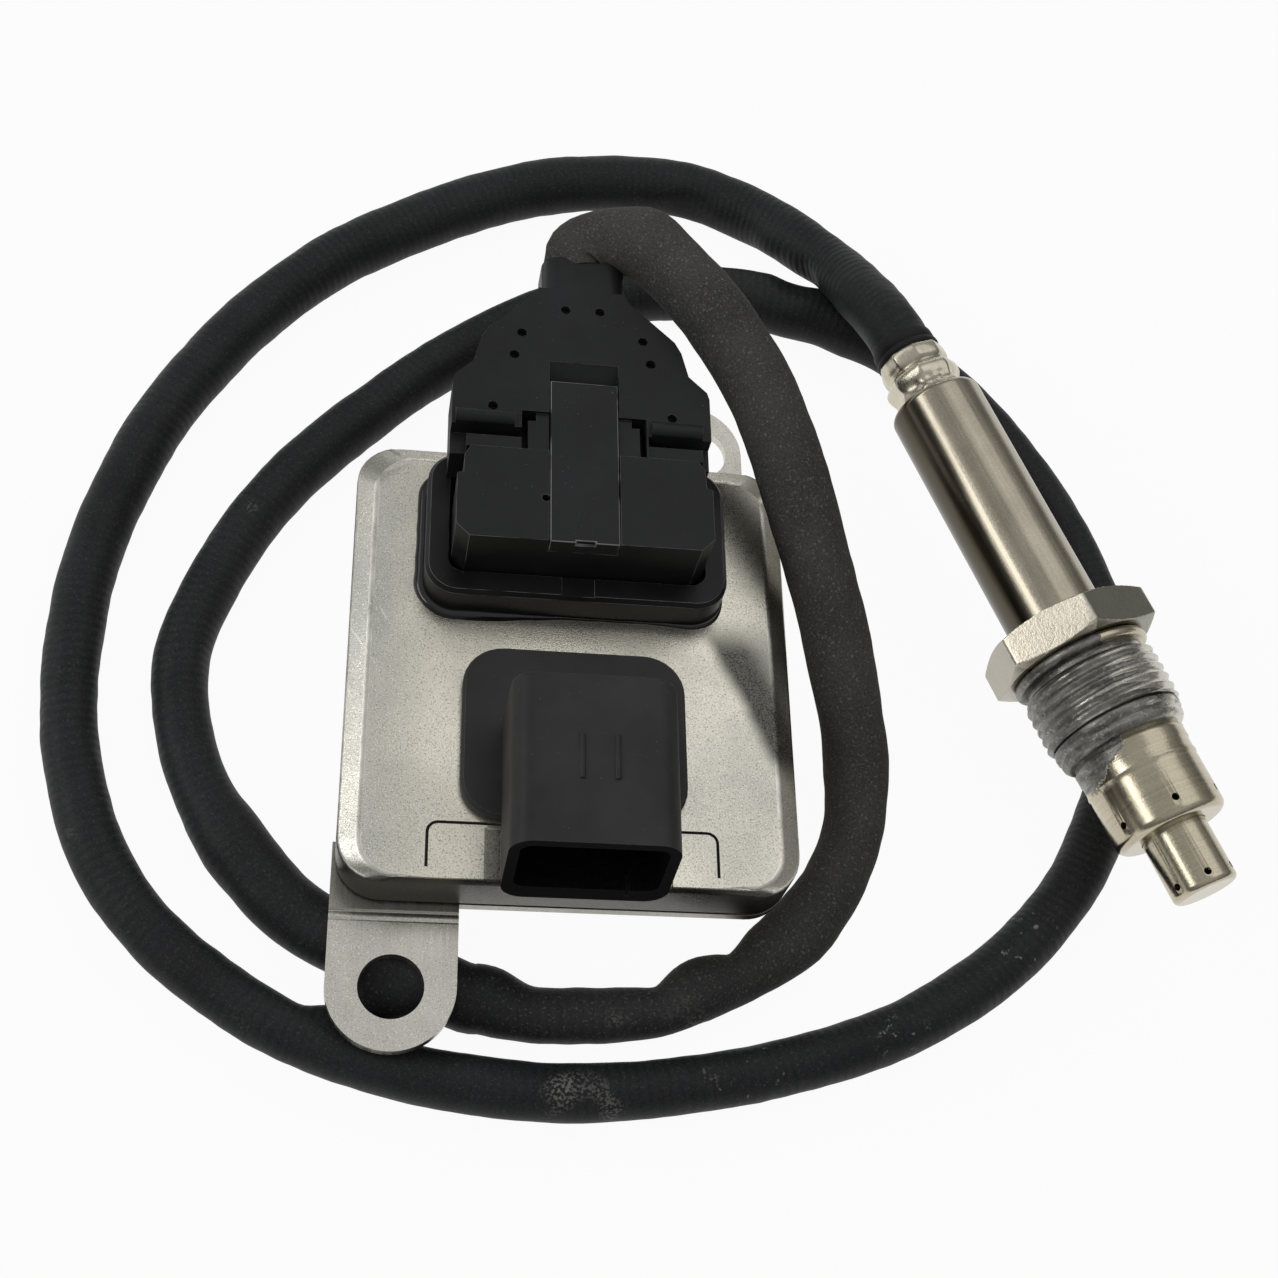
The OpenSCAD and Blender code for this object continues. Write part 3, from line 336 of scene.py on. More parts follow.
def moulded_black(name, tone, roughness, dust=0.76, scuff=0.4):
    """Glass-filled black moulding with fine texture, scuffs, painted highlights along its bevelled
    edges and a little dust.
    """
    finish, tree, shader = new_finish(name, roughness, 0.0, 0.25)
    place = object_place(tree)
    texture = grain(tree, place, 2600, 3, 0.6)
    clouds = grain(tree, place, 90, 3, 0.6)
    scuffs = grain(tree, object_place(tree, (140, 1500, 400), (0.2, 0.4, 1.2)), 1, 4, 0.7)
    specks = grain(tree, place, 2300, 1, 0.5)
    low = tuple(0.7 * c for c in tone)
    high = tuple(1.35 * c for c in tone)
    base = blend(tree, band(tree, clouds, 0.3, 0.7), low, high)
    scuffed = blend(tree, band(tree, scuffs, 0.66, 0.78, 0, scuff), base, (0.05, 0.05, 0.052))
    dusty = blend(tree, band(tree, specks, dust, dust + 0.04, 0, 0.6), scuffed,
                  (0.11, 0.11, 0.105))
    # Painted highlight along the bevelled edges, in broken lengths.
    edge = painted_edge_highlights(tree, place, 260, 0.34, 0.5)
    wire_to(tree, blend(tree, edge, dusty, (0.28, 0.28, 0.285)), shader, "Base Color")
    wire_to(tree, band(tree, clouds, 0.25, 0.75, roughness - 0.06, roughness + 0.08), shader,
            "Roughness")
    relief(tree, shader, texture, 0.00004, 0.35)
    return finish


def sealant_black():
    """Glossy black sealant with an uneven skin."""
    finish, tree, shader = new_finish("sealant_black", 0.14, 0.0, 0.6)
    place = object_place(tree)
    clouds = grain(tree, place, 260, 2)
    wire_to(tree, blend(tree, clouds, (0.004, 0.004, 0.004), (0.012, 0.012, 0.012)), shader,
            "Base Color")
    wire_to(tree, band(tree, clouds, 0.3, 0.7, 0.1, 0.24), shader, "Roughness")
    relief(tree, shader, clouds, 0.0002, 0.4)
    return finish


def rubber_black():
    """Matt black rubber with a fine surface."""
    finish, tree, shader = new_finish("rubber_black", 0.6, 0.0, 0.3)
    place = object_place(tree)
    fine = grain(tree, place, 1800, 3)
    wire_to(tree, blend(tree, fine, (0.006, 0.006, 0.006), (0.02, 0.02, 0.02)), shader,
            "Base Color")
    relief(tree, shader, fine, 0.00005, 0.4)
    return finish


def woven_sleeve():
    """Black woven sleeve: matt fibres at the plug's end, soft ribs along the rest."""
    finish, tree, shader = new_finish("woven_sleeve", 0.55, 0.0, 0.22)
    uv = add(tree, "SeparateXYZ", {0: add(tree, "TexCoord").outputs["UV"]})
    along, round_it = uv.outputs[0], uv.outputs[1]
    place = object_place(tree)
    ribbed = band(tree, along, 0.1, 0.17)

    unsteady = math_node(tree, "MULTIPLY", grain(tree, place, 130, 1), 0.0016)

    def wave(per_metre, turns):
        """Ridges along the cable, which wind round it."""
        run = math_node(tree, "MULTIPLY", math_node(tree, "ADD", along, unsteady),
                        per_metre * math.tau)
        turned = math_node(tree, "MULTIPLY", round_it, turns * math.tau)
        return math_node(tree, "SINE", math_node(tree, "ADD", run, turned))

    patches = band(tree, grain(tree, place, 38, 2), 0.36, 0.62, 0.25, 1.0)
    ribs = math_node(tree, "MULTIPLY", math_node(tree, "MULTIPLY", wave(750, 1), ribbed), patches)
    weave = math_node(tree, "MULTIPLY", wave(1500, 30), wave(1500, -30))
    fibres = grain(tree, place, 3200, 2, 0.7)
    clouds = grain(tree, place, 80, 3)
    specks = grain(tree, place, 2600, 1, 0.5)
    lint = grain(tree, place, 60, 2, 0.6)
    lint_strands = grain(tree, place, 520, 2, 0.6)
    dark = blend(tree, ribbed, (0.046, 0.0455, 0.044), (0.0125, 0.013, 0.0145))
    pale = blend(tree, ribbed, (0.095, 0.092, 0.087), (0.028, 0.029, 0.031))
    mottle = math_node(tree, "ADD", math_node(tree, "MULTIPLY", fibres, 0.6),
                       math_node(tree, "MULTIPLY", clouds, 0.4))
    # The rib crests are painted a little lighter and their grooves darker, a painted highlight and
    # shade.
    mixed = math_node(tree, "ADD", mottle, math_node(tree, "MULTIPLY", ribs, 0.05))
    base = blend(tree, band(tree, mixed, 0.38, 0.62), dark, pale)
    dusty = band(tree, along, 0.1, 0.2, 0.6, 0.12)
    fleck = math_node(tree, "MULTIPLY", band(tree, specks, 0.6, 0.74), dusty)
    caught = band(tree, lint, 0.68, 0.76, 0, 0.8)
    for at, reach in LINT:
        off = add(tree, "VectorMath", {0: place, 1: Vector(at) * MM}, operation="DISTANCE")
        near = band(tree, off.outputs["Value"], reach * MM, 0.3 * reach * MM, 0, 1.6)
        streaky = math_node(tree, "MULTIPLY", near, band(tree, lint_strands, 0.6, 0.68))
        caught = math_node(tree, "MAXIMUM", caught, streaky)
    linted = math_node(tree, "MULTIPLY", band(tree, specks, 0.46, 0.6), caught)
    most = math_node(tree, "MAXIMUM", fleck, linted)
    wire_to(tree, blend(tree, most, base, (0.24, 0.236, 0.222)), shader, "Base Color")
    wire_to(tree, band(tree, along, 0.1, 0.17, 0.85, 0.54), shader, "Roughness")
    threads = math_node(tree, "ADD", math_node(tree, "MULTIPLY", weave, 0.12),
                        math_node(tree, "MULTIPLY", fibres, 0.5))
    relief(tree, shader, ribs, 0.00005, 0.5)
    relief(tree, shader, threads, 0.00007, 0.5)
    return finish


def pasted(tree, shader, colour, rough, mask):
    """Grey paste smeared over a bare metal where the mask says."""
    smear = grain(tree, probe_place(tree, (900, 260, 260)), 1, 4, 0.7)
    fine = grain(tree, probe_place(tree), 1500, 3, 0.7)
    grey = blend(tree, band(tree, smear, 0.35, 0.65), (0.13, 0.128, 0.122), (0.33, 0.32, 0.295))
    flecked = blend(tree, band(tree, fine, 0.56, 0.68, 0, 0.8), grey, (0.46, 0.44, 0.4))
    wire_to(tree, blend(tree, mask, colour, flecked), shader, "Base Color")
    wire_to(tree, math_node(tree, "ADD", rough, math_node(tree, "MULTIPLY", mask, 0.2)), shader,
            "Roughness")
    lifted = math_node(tree, "MULTIPLY", mask, math_node(tree, "ADD", smear, fine))
    relief(tree, shader, lifted, 0.00011, 0.7)


def probe_steel(name, stretch, tones, rough, depth=0.00003, fine=1.0, sand=0.3, paste=None,
                painted_shades=()):
    """Nickel-coloured steel, brushed along or round the probe, with fine sandy speckle.

    Each painted shade darkens one side of the part: a colour and, for the sum of across and lift
    parts, where it starts and fills."""
    finish, tree, shader = new_finish(name, rough[0], 1.0)
    brushed = grain(tree, probe_place(tree, stretch), fine, 3, 0.6)
    speckle = grain(tree, probe_place(tree), 3400, 2, 0.6)
    clouds = grain(tree, probe_place(tree), 160, 3, 0.6)
    mottle = math_node(tree, "ADD", math_node(tree, "MULTIPLY", brushed, 0.7 - sand),
                       math_node(tree, "ADD", math_node(tree, "MULTIPLY", speckle, sand),
                                 math_node(tree, "MULTIPLY", clouds, 0.3)))
    colour = blend(tree, band(tree, mottle, 0.38, 0.62), *tones)
    gloss = band(tree, mottle, 0.35, 0.65, *rough)
    # Painted shade: each one darkens one side of the part.
    for shade, across, lift, start, full in painted_shades:
        spot = add(tree, "SeparateXYZ", {0: probe_place(tree)})
        side = math_node(tree, "ADD", math_node(tree, "MULTIPLY", spot.outputs[1], across),
                         math_node(tree, "MULTIPLY", spot.outputs[2], lift))
        colour = blend(tree, soft_step(tree, side, start, full), colour, shade)
    relief(tree, shader, math_node(tree, "ADD", brushed, speckle), depth, 0.5)
    if paste is None:
        wire_to(tree, colour, shader, "Base Color")
        wire_to(tree, gloss, shader, "Roughness")
        return finish
    apart = add(tree, "SeparateXYZ", {0: probe_place(tree)})
    along, across, limit = paste
    ragged = math_node(tree, "MULTIPLY", grain(tree, probe_place(tree), 420, 4, 0.6), 0.0042)
    reach = math_node(tree, "ADD", math_node(tree, "MULTIPLY", apart.outputs[0], along),
                      math_node(tree, "MULTIPLY", apart.outputs[1], across))
    line = math_node(tree, "ADD", reach, ragged)
    pasted(tree, shader, colour, gloss, band(tree, line, limit, limit - 0.0003))
    return finish


def pasted_thread():
    """Thread under grey paste, which is wiped off its right side and its crests."""
    finish, tree, shader = new_finish("pasted_thread", 0.3, 1.0)
    place = probe_place(tree)
    smear = grain(tree, probe_place(tree, (500, 120, 120)), 1, 3, 0.6)
    fine = grain(tree, place, 1700, 3, 0.7)
    colour = blend(tree, band(tree, fine, 0.4, 0.7), (0.50, 0.475, 0.42), (0.66, 0.63, 0.56))
    crest = add(tree, "Attribute", attribute_name="crest").outputs["Fac"]
    across = add(tree, "SeparateXYZ", {0: place}).outputs[1]
    left = band(tree, across, -0.006, 0.004, 0.42, 0.0)
    bare = math_node(tree, "SUBTRACT", math_node(tree, "ADD", smear, math_node(
        tree, "MULTIPLY", crest, 0.46)), left)
    gloss = band(tree, fine, 0.3, 0.7, 0.2, 0.34)
    pasted(tree, shader, colour, gloss, band(tree, bare, 0.44, 0.54, 1, 0))
    return finish


def mottled(name, first, second, scale, roughness=0.5, metallic=0.0, depth=0.00004,
            specular=0.5):
    """A plain finish of two close tones with a fine surface."""
    finish, tree, shader = new_finish(name, roughness, metallic, specular)
    place = object_place(tree)
    fine = grain(tree, place, scale, 3, 0.6)
    wire_to(tree, blend(tree, band(tree, fine, 0.35, 0.65), first, second), shader, "Base Color")
    wire_to(tree, band(tree, fine, 0.3, 0.7, max(roughness - 0.08, 0.05), roughness + 0.08),
            shader, "Roughness")
    relief(tree, shader, fine, depth, 0.4)
    return finish


ALUMINIUM = pressed_aluminium()
PLATE = plate_steel()
# Near-black finish painted as shade on the floor of the cover's groove.
GROOVE_SHADE = mottled("groove_painted_shade", (0.01, 0.01, 0.009), (0.03, 0.028, 0.025), 1500, 0.6)
TRAY_BLACK = moulded_black("tray_black", (0.0115, 0.0115, 0.012), 0.36)
PLUG_BLACK = moulded_black("plug_black", (0.016, 0.0165, 0.018), 0.42)
STRAP_BLACK = moulded_black("strap_black", (0.017, 0.0175, 0.019), 0.4, 0.73, 0.7)
HOOD_BLACK = moulded_black("hood_black", (0.036, 0.036, 0.0355), 0.5, 0.76, 0.6)
# Near-black finish painted as shade on the hood's rim and the walls inside its mouth.
MOUTH_SHADE = mottled("mouth_painted_shade", (0.002, 0.002, 0.002), (0.006, 0.006, 0.006), 1500, 0.7,
                      specular=0.06)
SEALANT = sealant_black()
RUBBER = rubber_black()
SLEEVE = woven_sleeve()
TUBE_TONES = ((0.34, 0.308, 0.242), (0.49, 0.443, 0.355))
# Painted dark reflections on the tube's left and lower side and, lighter, on its right.
TUBE_STEEL = probe_steel("tube_steel", (25, 1900, 1900), TUBE_TONES, (0.2, 0.28), 0.000012,
                         painted_shades=[((0.10, 0.088, 0.066), -1, -0.4, 0.0023, 0.0054),
                                ((0.27, 0.24, 0.185), 1, -0.3, 0.0005, 0.0056)])
SHIELD_TONES = ((0.43, 0.385, 0.285), (0.57, 0.515, 0.395))
SHIELD_STEEL = probe_steel("shield_steel", (2600, 30, 30), SHIELD_TONES, (0.17, 0.26),
                           paste=(1, 0.95, 0.0695))
TIP_STEEL = probe_steel("tip_steel", (2600, 30, 30), SHIELD_TONES, (0.16, 0.24))
RING_STEEL = probe_steel("ring_steel", (2600, 30, 30), SHIELD_TONES, (0.2, 0.3),
                         paste=(0, 1, 0.0008))
# Painted shade on two sides of the hexagon.
HEX_STEEL = probe_steel("hex_steel", (1500, 1500, 1500), ((0.60, 0.55, 0.45), (0.82, 0.76, 0.63)),
                        (0.28, 0.4), 0.00006, sand=0.4,
                        painted_shades=[((0.27, 0.26, 0.215), 1, 0.167, -0.00005, 0.0003),
                               ((0.44, 0.415, 0.35), -0.35, -0.937, -0.00005, 0.0003)])
COLLAR_STEEL = probe_steel("collar_steel", (300, 300, 300), ((0.5, 0.465, 0.37),
                                                             (0.70, 0.65, 0.53)), (0.22, 0.32))
PASTED = pasted_thread()
BOARD_GREEN = mottled("board_green", (0.01, 0.09, 0.03), (0.02, 0.14, 0.05), 900, 0.35)
CHIP_BLACK = mottled("chip_black", (0.012, 0.012, 0.012), (0.03, 0.03, 0.03), 2200, 0.55)
PIN_TIN = mottled("pin_tin", (0.55, 0.5, 0.4), (0.72, 0.67, 0.55), 1500, 0.28, 1.0)
SCREW_ZINC = mottled("screw_zinc", (0.45, 0.46, 0.47), (0.66, 0.67, 0.68), 1300, 0.34, 1.0)
SILICONE = mottled("silicone_orange", (0.4, 0.07, 0.02), (0.5, 0.1, 0.03), 900, 0.5)
LEAD_COVER = mottled("lead_cover", (0.3, 0.05, 0.03), (0.42, 0.08, 0.05), 900, 0.45)
CERAMIC = mottled("ceramic_white", (0.74, 0.73, 0.69), (0.86, 0.85, 0.82), 1300, 0.5)
TALC = mottled("talc_grey", (0.5, 0.49, 0.45), (0.64, 0.62, 0.57), 1800, 0.8)
GROMMET = mottled("grommet_grey", (0.4, 0.4, 0.39), (0.52, 0.52, 0.5), 900, 0.6)

FINISHES = {
    "mounting_plate": PLATE, "bottom_cover": PLATE, "top_cover": ALUMINIUM,
    "cover_seal": RUBBER, "pan_seal": RUBBER, "socket_seal": SEALANT, "header_seal": SEALANT,
    "case_screws": SCREW_ZINC, "board_screws": SCREW_ZINC, "circuit_board": BOARD_GREEN,
    "board_components": CHIP_BLACK, "sensor_header": TRAY_BLACK, "header_pins": PIN_TIN,
    "vehicle_socket": HOOD_BLACK, "socket_pins": PIN_TIN, "plug_housing": PLUG_BLACK,
    "plug_back_shell": PLUG_BLACK, "plug_lock_strap": STRAP_BLACK, "plug_terminals": PIN_TIN,
    "plug_seal": SILICONE, "neck_grommet": RUBBER, "cable_sleeve": SLEEVE, "cable_boot": RUBBER,
    "crimp_collar": COLLAR_STEEL, "tube_grommet": GROMMET, "body_tube": TUBE_STEEL,
    "contact_holder": CERAMIC, "lead_wires": LEAD_COVER, "hex_body": HEX_STEEL,
    "seal_ring": RING_STEEL, "rear_bush": CERAMIC, "talc_ring": TALC, "front_bush": CERAMIC,
    "sensing_element": CERAMIC, "outer_shield": SHIELD_STEEL, "inner_shield": TIP_STEEL,
}
for name, finish in FINISHES.items():
    NODES[name].data.materials.clear()
    NODES[name].data.materials.append(finish)


def piece(name, bm, finish, slot, *nodes, crease=35, weighted=True, second=None):
    """A finished piece from a mesh in metres, riding on the root and standing for CAD nodes."""
    mesh = bpy.data.meshes.new(name)
    bm.to_mesh(mesh)
    bm.free()
    mesh.materials.append(finish)
    if second:
        mesh.materials.append(second)
    for face in mesh.polygons:
        face.use_smooth = True
    mesh.set_sharp_from_angle(angle=math.radians(crease))
    made = bpy.data.objects.new(name, mesh)
    bpy.context.scene.collection.objects.link(made)
    if weighted:
        normals = made.modifiers.new("normals", "WEIGHTED_NORMAL")
        normals.keep_sharp = True
    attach(made, "root")
    if nodes:
        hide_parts(*nodes)
    return made


def clean_copy(node):
    """A CAD node's mesh with its triangles joined, merged into flat faces."""
    bm = bmesh.new()
    bm.from_mesh(NODES[node].data)
    bmesh.ops.remove_doubles(bm, verts=bm.verts, dist=2e-6)
    bmesh.ops.dissolve_limit(bm, angle_limit=math.radians(0.6), verts=bm.verts, edges=bm.edges)
    # A face layer for where a highlight is painted along the bevelled edges.
    bm.faces.layers.float.new("edge_highlight")
    return bm


def round_edges(bm, edges, width, segments=2, clamp=True):
    """Rounds the edges and marks their new faces as the ones that get a painted highlight."""
    edge_highlight = bm.faces.layers.float["edge_highlight"]
    made = bmesh.ops.bevel(bm, geom=edges, offset=width * MM, offset_type="OFFSET",
                           segments=segments, profile=0.5, affect="EDGES",
                           clamp_overlap=clamp, material=-1)
    for face in made["faces"]:
        face[edge_highlight] = 1.0
    return bm


def softened(node, edge, segments=2, corner=25):
    """A copy of a CAD node with its sharp edges rounded."""
    bm = clean_copy(node)
    sharp = [e for e in bm.edges if e.is_manifold
             and e.calc_face_angle() > math.radians(corner)]
    return round_edges(bm, sharp, edge, segments)


def turned(profile, sides=96):
    """A closed profile of (station, radius) in millimetres, spun about Z."""
    bm = bmesh.new()
    verts = [bm.verts.new((r, 0, s)) for s, r in profile]
    edges = [bm.edges.new(pair) for pair in zip(verts, verts[1:] + verts[:1])]
    bmesh.ops.spin(bm, geom=verts + edges, cent=(0, 0, 0), axis=(0, 0, 1), angle=math.tau,
                   steps=sides, use_merge=True)
    bmesh.ops.remove_doubles(bm, verts=bm.verts, dist=1e-4)
    bmesh.ops.recalc_face_normals(bm, faces=bm.faces)
    return bm


ON_PROBE = (Matrix.Scale(MM, 4) @ Matrix.Translation(PROBE_TAIL)
            @ Matrix.Rotation(PROBE_TURN, 4, "Z") @ Matrix.Rotation(math.pi / 2, 4, "Y"))


def on_probe(bm):
    """Puts a mesh made in millimetres along Z on the probe's axis."""
    bm.transform(ON_PROBE)
    return bm


def spline(a, b, c, d, t):
    """The point at t between b and c on the smooth curve through all four."""
    return 0.5 * (2 * b + (c - a) * t + (2 * a - 5 * b + 4 * c - d) * t * t
                  + (3 * b - a - 3 * c + d) * t * t * t)


def smooth_route(points, gap):
    """Points a gap apart on the smooth curve through the route."""
    rows = [Vector(p) for p in points]
    found = []
    for i in range(len(rows) - 1):
        four = [rows[max(i - 1, 0)], rows[i], rows[i + 1], rows[min(i + 2, len(rows) - 1)]]
        steps = max(2, round((rows[i + 1] - rows[i]).length / gap))
        found += [spline(*four, k / steps) for k in range(steps)]
    return found + [rows[-1]]


def lump_height(point):
    """How far the folds and lumps push the sleeve out at a point, in millimetres."""
    height = 0
    for at, reach, top in LUMPS:
        off = (point - Vector(at)).length / reach
        if off < 1:
            height += top * (1 - off * off) ** 2
    return height


def sleeve_mesh(stops, sides):
    """A tube of varying width along the stops, which never goes below the floor, and its path."""
    bm = bmesh.new()
    uv = bm.loops.layers.uv.new("along")
    centres, rings, run = [], [], [0]
    for i, stop in enumerate(stops):
        at = Vector(stop[:3])
        before, after = stops[max(i - 1, 0)], stops[min(i + 1, len(stops) - 1)]
        heading = (Vector(after[:3]) - Vector(before[:3])).normalized()
        side = heading.cross(Vector((0, 0, 1))).normalized()
        top = side.cross(heading)
        if centres:
            run.append(run[-1] + (at - centres[-1]).length)
        wide = stop[3] / 2
        tall = min(wide, at.z - LEAST_Z)
        low = Vector((0, 0, tall - at.z)) if at.z <= FLOOR + 0.1 else Vector()
        ring = []
        for k in range(sides):
            angle = math.tau * k / sides
            out = side * math.cos(angle) * wide + top * math.sin(angle) * tall
            point = at + low + out
            swell = 1 + (0.22 * noise.noise(point * 0.11) + 0.1 * noise.noise(point * 0.4)
                         + lump_height(point)) / wide
            point = at + low + out * swell
            point.z = max(point.z, LEAST_Z)
            x_from, x_to, y_from, y_to, under = UNDER_EAR
            if x_from < point.x < x_to and y_from < point.y < y_to:
                point.z = min(point.z, under)
            ring.append(bm.verts.new(point * MM))
        centres.append(at)
        rings.append(ring)
    for i in range(len(rings) - 1):
        for k in range(sides):
            m = (k + 1) % sides
            face = bm.faces.new((rings[i][k], rings[i + 1][k], rings[i + 1][m], rings[i][m]))
            for loop, station, turn in zip(face.loops, (i, i + 1, i + 1, i), (k, k, k + 1, k + 1)):
                loop[uv].uv = (run[station] * MM, turn / sides)
    for ring in (rings[0], rings[-1]):
        bm.faces.new(ring)
    bmesh.ops.recalc_face_normals(bm, faces=bm.faces)
    return bm, centres


mesh, centres = sleeve_mesh(smooth_route(ROUTE, RING_GAP), RING_SIDES)
cable = piece("sleeved_cable", mesh, SLEEVE, "sleeve_fabric", "cable_sleeve", crease=60,
              weighted=False)


def cover_pressing():
    """The cover with a rounded border; its fine groove is cut as deep as the wall allows, and its
    floor gets a near-black finish as painted shade.
    """
    bm = clean_copy("top_cover")
    border = []
    for edge in bm.edges:
        slopes = [abs(face.normal.z) for face in edge.link_faces]
        if len(slopes) == 2 and any(0.2 < z < 0.9 for z in slopes):
            if edge.calc_face_angle() > math.radians(14):
                border.append(edge)
    round_edges(bm, border, 0.4, 3, clamp=False)
    floor = {v for v in bm.verts if abs(v.co.x) / MM < HALF_GROOVE + 0.4
             and abs(v.co.z / MM - TOP_Z + GROOVE_DEPTH) < 0.02}
    for vert in floor:
        vert.co.z -= GROOVE_DEEPER * MM
    # The groove's floor faces take the second finish, a painted shade.
    for face in {f for v in floor for f in v.link_faces}:
        if all(v in floor for v in face.verts):
            face.material_index = 1
    return bm


def plate_with_ears():
    """The plate, whose near ear is set down along two fold lines beside the case."""
    bm = clean_copy("mounting_plate")
    for y, _ in FOLDS:
        bmesh.ops.bisect_plane(bm, geom=bm.verts[:] + bm.edges[:] + bm.faces[:], dist=1e-6,
                               plane_co=(0, y * MM, 0), plane_no=(0, 1, 0))
    for vert in bm.verts:
        drops = [drop for y, drop in FOLDS if vert.co.y / MM < y + 0.01]
        if drops:
            vert.co.z += drops[-1] * MM
    sharp = [e for e in bm.edges if e.is_manifold and e.calc_face_angle() > math.radians(40)]
    return round_edges(bm, sharp, 0.2, 2)


def socket_with_painted_mouth_shade():
    """The hooded socket; its rim and the walls inside its mouth get a near-black finish as painted
    shade.
    """
    bm = softened("vehicle_socket", 0.2, 2)
    bm.normal_update()
    for face in bm.faces:
        at = face.calc_center_median() / MM
        inside = abs(at.x - MOUTH_AT[0]) < MOUTH_AT[2] and abs(at.z - MOUTH_AT[1]) < MOUTH_AT[3]
        if (face.normal.y < -0.5 and at.y < -28) or (inside and at.y < -15):
            face.material_index = 1
    return bm


def sealant_bead():
    """A glossy bead squeezed out round the tray, thick at its left and near corners."""
    half_w, half_l, corner = TRAY_W / 2 + 0.1, TRAY_L / 2 + 0.1, TRAY_R
    bm = bmesh.new()
    rings = []
    for k in range(BEAD_STEPS):
        angle = math.tau * k / BEAD_STEPS
        x, y = half_w * math.cos(angle), half_l * math.sin(angle)
        reach = max(abs(math.cos(angle)) * half_l, abs(math.sin(angle)) * half_w)
        x, y = x * half_w * half_l / (reach * half_w), y * half_w * half_l / (reach * half_l)
        across, over = half_w - corner, half_l - corner
        centre = Vector((max(-across, min(across, x)), max(-over, min(over, y))))
        out = Vector((x, y)) - centre
        out = out.normalized() if out.length > 1e-6 else Vector((0, 1))
        at = centre + out * corner
        left = max(0, -at.x / half_w) ** 2
        near_left = math.exp(-((at.x + 12) ** 2 + (at.y + half_l) ** 2) / 60)
        near_right = math.exp(-((at.x - 17) ** 2 + (at.y + half_l) ** 2) / 22)
        wide = (0.16 + 0.8 * left + 0.7 * near_left + 0.4 * near_right
                + 0.12 * noise.noise(Vector((at.x, at.y, 3)) * 0.35))
        tall = 0.2 + 0.6 * wide + 0.1 * noise.noise(Vector((at.x, at.y, 9)) * 0.5)
        ring = []
        for m in range(BEAD_SIDES):
            turn = math.tau * m / BEAD_SIDES
            spot = at + out * (wide * math.cos(turn))
            rise = tall * math.sin(turn) * (1 if math.sin(turn) > 0 else 0.2)
            ring.append(bm.verts.new(Vector((spot.x, spot.y + TRAY_Y, TOP_Z + rise)) * MM))
        rings.append(ring)
    for a, b in zip(rings, rings[1:] + rings[:1]):
        for m in range(BEAD_SIDES):
            n = (m + 1) % BEAD_SIDES
            bm.faces.new((a[m], b[m], b[n], a[n]))
    bmesh.ops.recalc_face_normals(bm, faces=bm.faces)
    return bm


piece("cover_pressing", cover_pressing(), ALUMINIUM, "cover_metal", "top_cover", crease=28,
      second=GROOVE_SHADE)
piece("plate_with_ears", plate_with_ears(), PLATE, "plate_metal", "mounting_plate")
piece("lower_pan", softened("bottom_cover", 0.3, 2), PLATE, "pan_metal", "bottom_cover")
piece("sealant_bead", sealant_bead(), SEALANT, "header_sealant", "header_seal", weighted=False)
piece("header_tray", softened("sensor_header", 0.22, 2), TRAY_BLACK, "header_plastic",
      "sensor_header")
piece("hooded_socket", socket_with_painted_mouth_shade(), HOOD_BLACK, "socket_plastic",
      "vehicle_socket", second=MOUTH_SHADE)
piece("plug_front", softened("plug_housing", 0.16, 2), PLUG_BLACK, "plug_plastic",
      "plug_housing")
piece("plug_rear_shell", softened("plug_back_shell", 0.14, 2), PLUG_BLACK, "plug_plastic",
      "plug_back_shell")
piece("locking_strap", softened("plug_lock_strap", 0.12, 2), STRAP_BLACK, "strap_plastic",
      "plug_lock_strap")


def sleeve_end():
    """The thin sleeve's rolled end, a dark ring before the collar."""
    return on_probe(turned([(-1.2, 4.1), (-1.2, 4.5), (-0.4, 4.78), (0.9, 4.85), (1.0, 4.72),
                            (1.15, 4.72), (1.3, 4.95), (1.7, 5.02), (2.1, 4.95), (2.25, 4.7),
                            (2.25, 4.1)], 72))


def crumpled_collar():
    """Two bands crimped on the sleeve in flats, and a creased skirt over the tube's end."""
    rows = [(2.2, 4.0), (2.2, 4.7), (2.35, 4.95), (2.7, 5.1), (3.3, 5.15), (4.0, 5.14),
            (4.5, 5.05), (4.8, 4.85), (5.0, 4.62), (5.2, 4.5), (5.4, 4.62), (5.6, 4.95),
            (5.9, 5.35), (6.4, 5.62), (7.0, 5.68), (7.6, 5.6), (8.1, 5.38), (8.5, 5.2),
            (9.0, 5.22), (9.6, 5.45), (10.1, 5.72), (10.35, 5.7), (10.35, 4.2)]
    bm = turned(rows, 120)
    for v in bm.verts:
        radius = math.hypot(v.co.x, v.co.y)
        if radius < 4.45:
            continue
        angle = math.atan2(v.co.y, v.co.x)
        late = v.co.z > 5.2
        flats, start = (8, 0.35) if late else (9, 0.1)
        step = math.tau / flats
        part = (angle + start) % step - step / 2
        flat = math.cos(step / 2) / math.cos(part)
        level = min(1, max(0, (radius - 4.5) / 0.5))
        squeeze = 1 + (flat - 0.965) * 0.75 * level
        crease = 0.0
        if v.co.z > 7.9:
            crease = 0.09 * math.sin(12 * angle + 1.2 * math.sin(2 * angle)) * min(
                1, (v.co.z - 7.9) / 0.8)
        crumple = 0.10 * noise.noise(Vector((v.co.x * 0.6, v.co.y * 0.6, v.co.z * 0.9)))
        v.co.xy *= squeeze * (radius + crease + crumple) / radius
    return on_probe(bm)


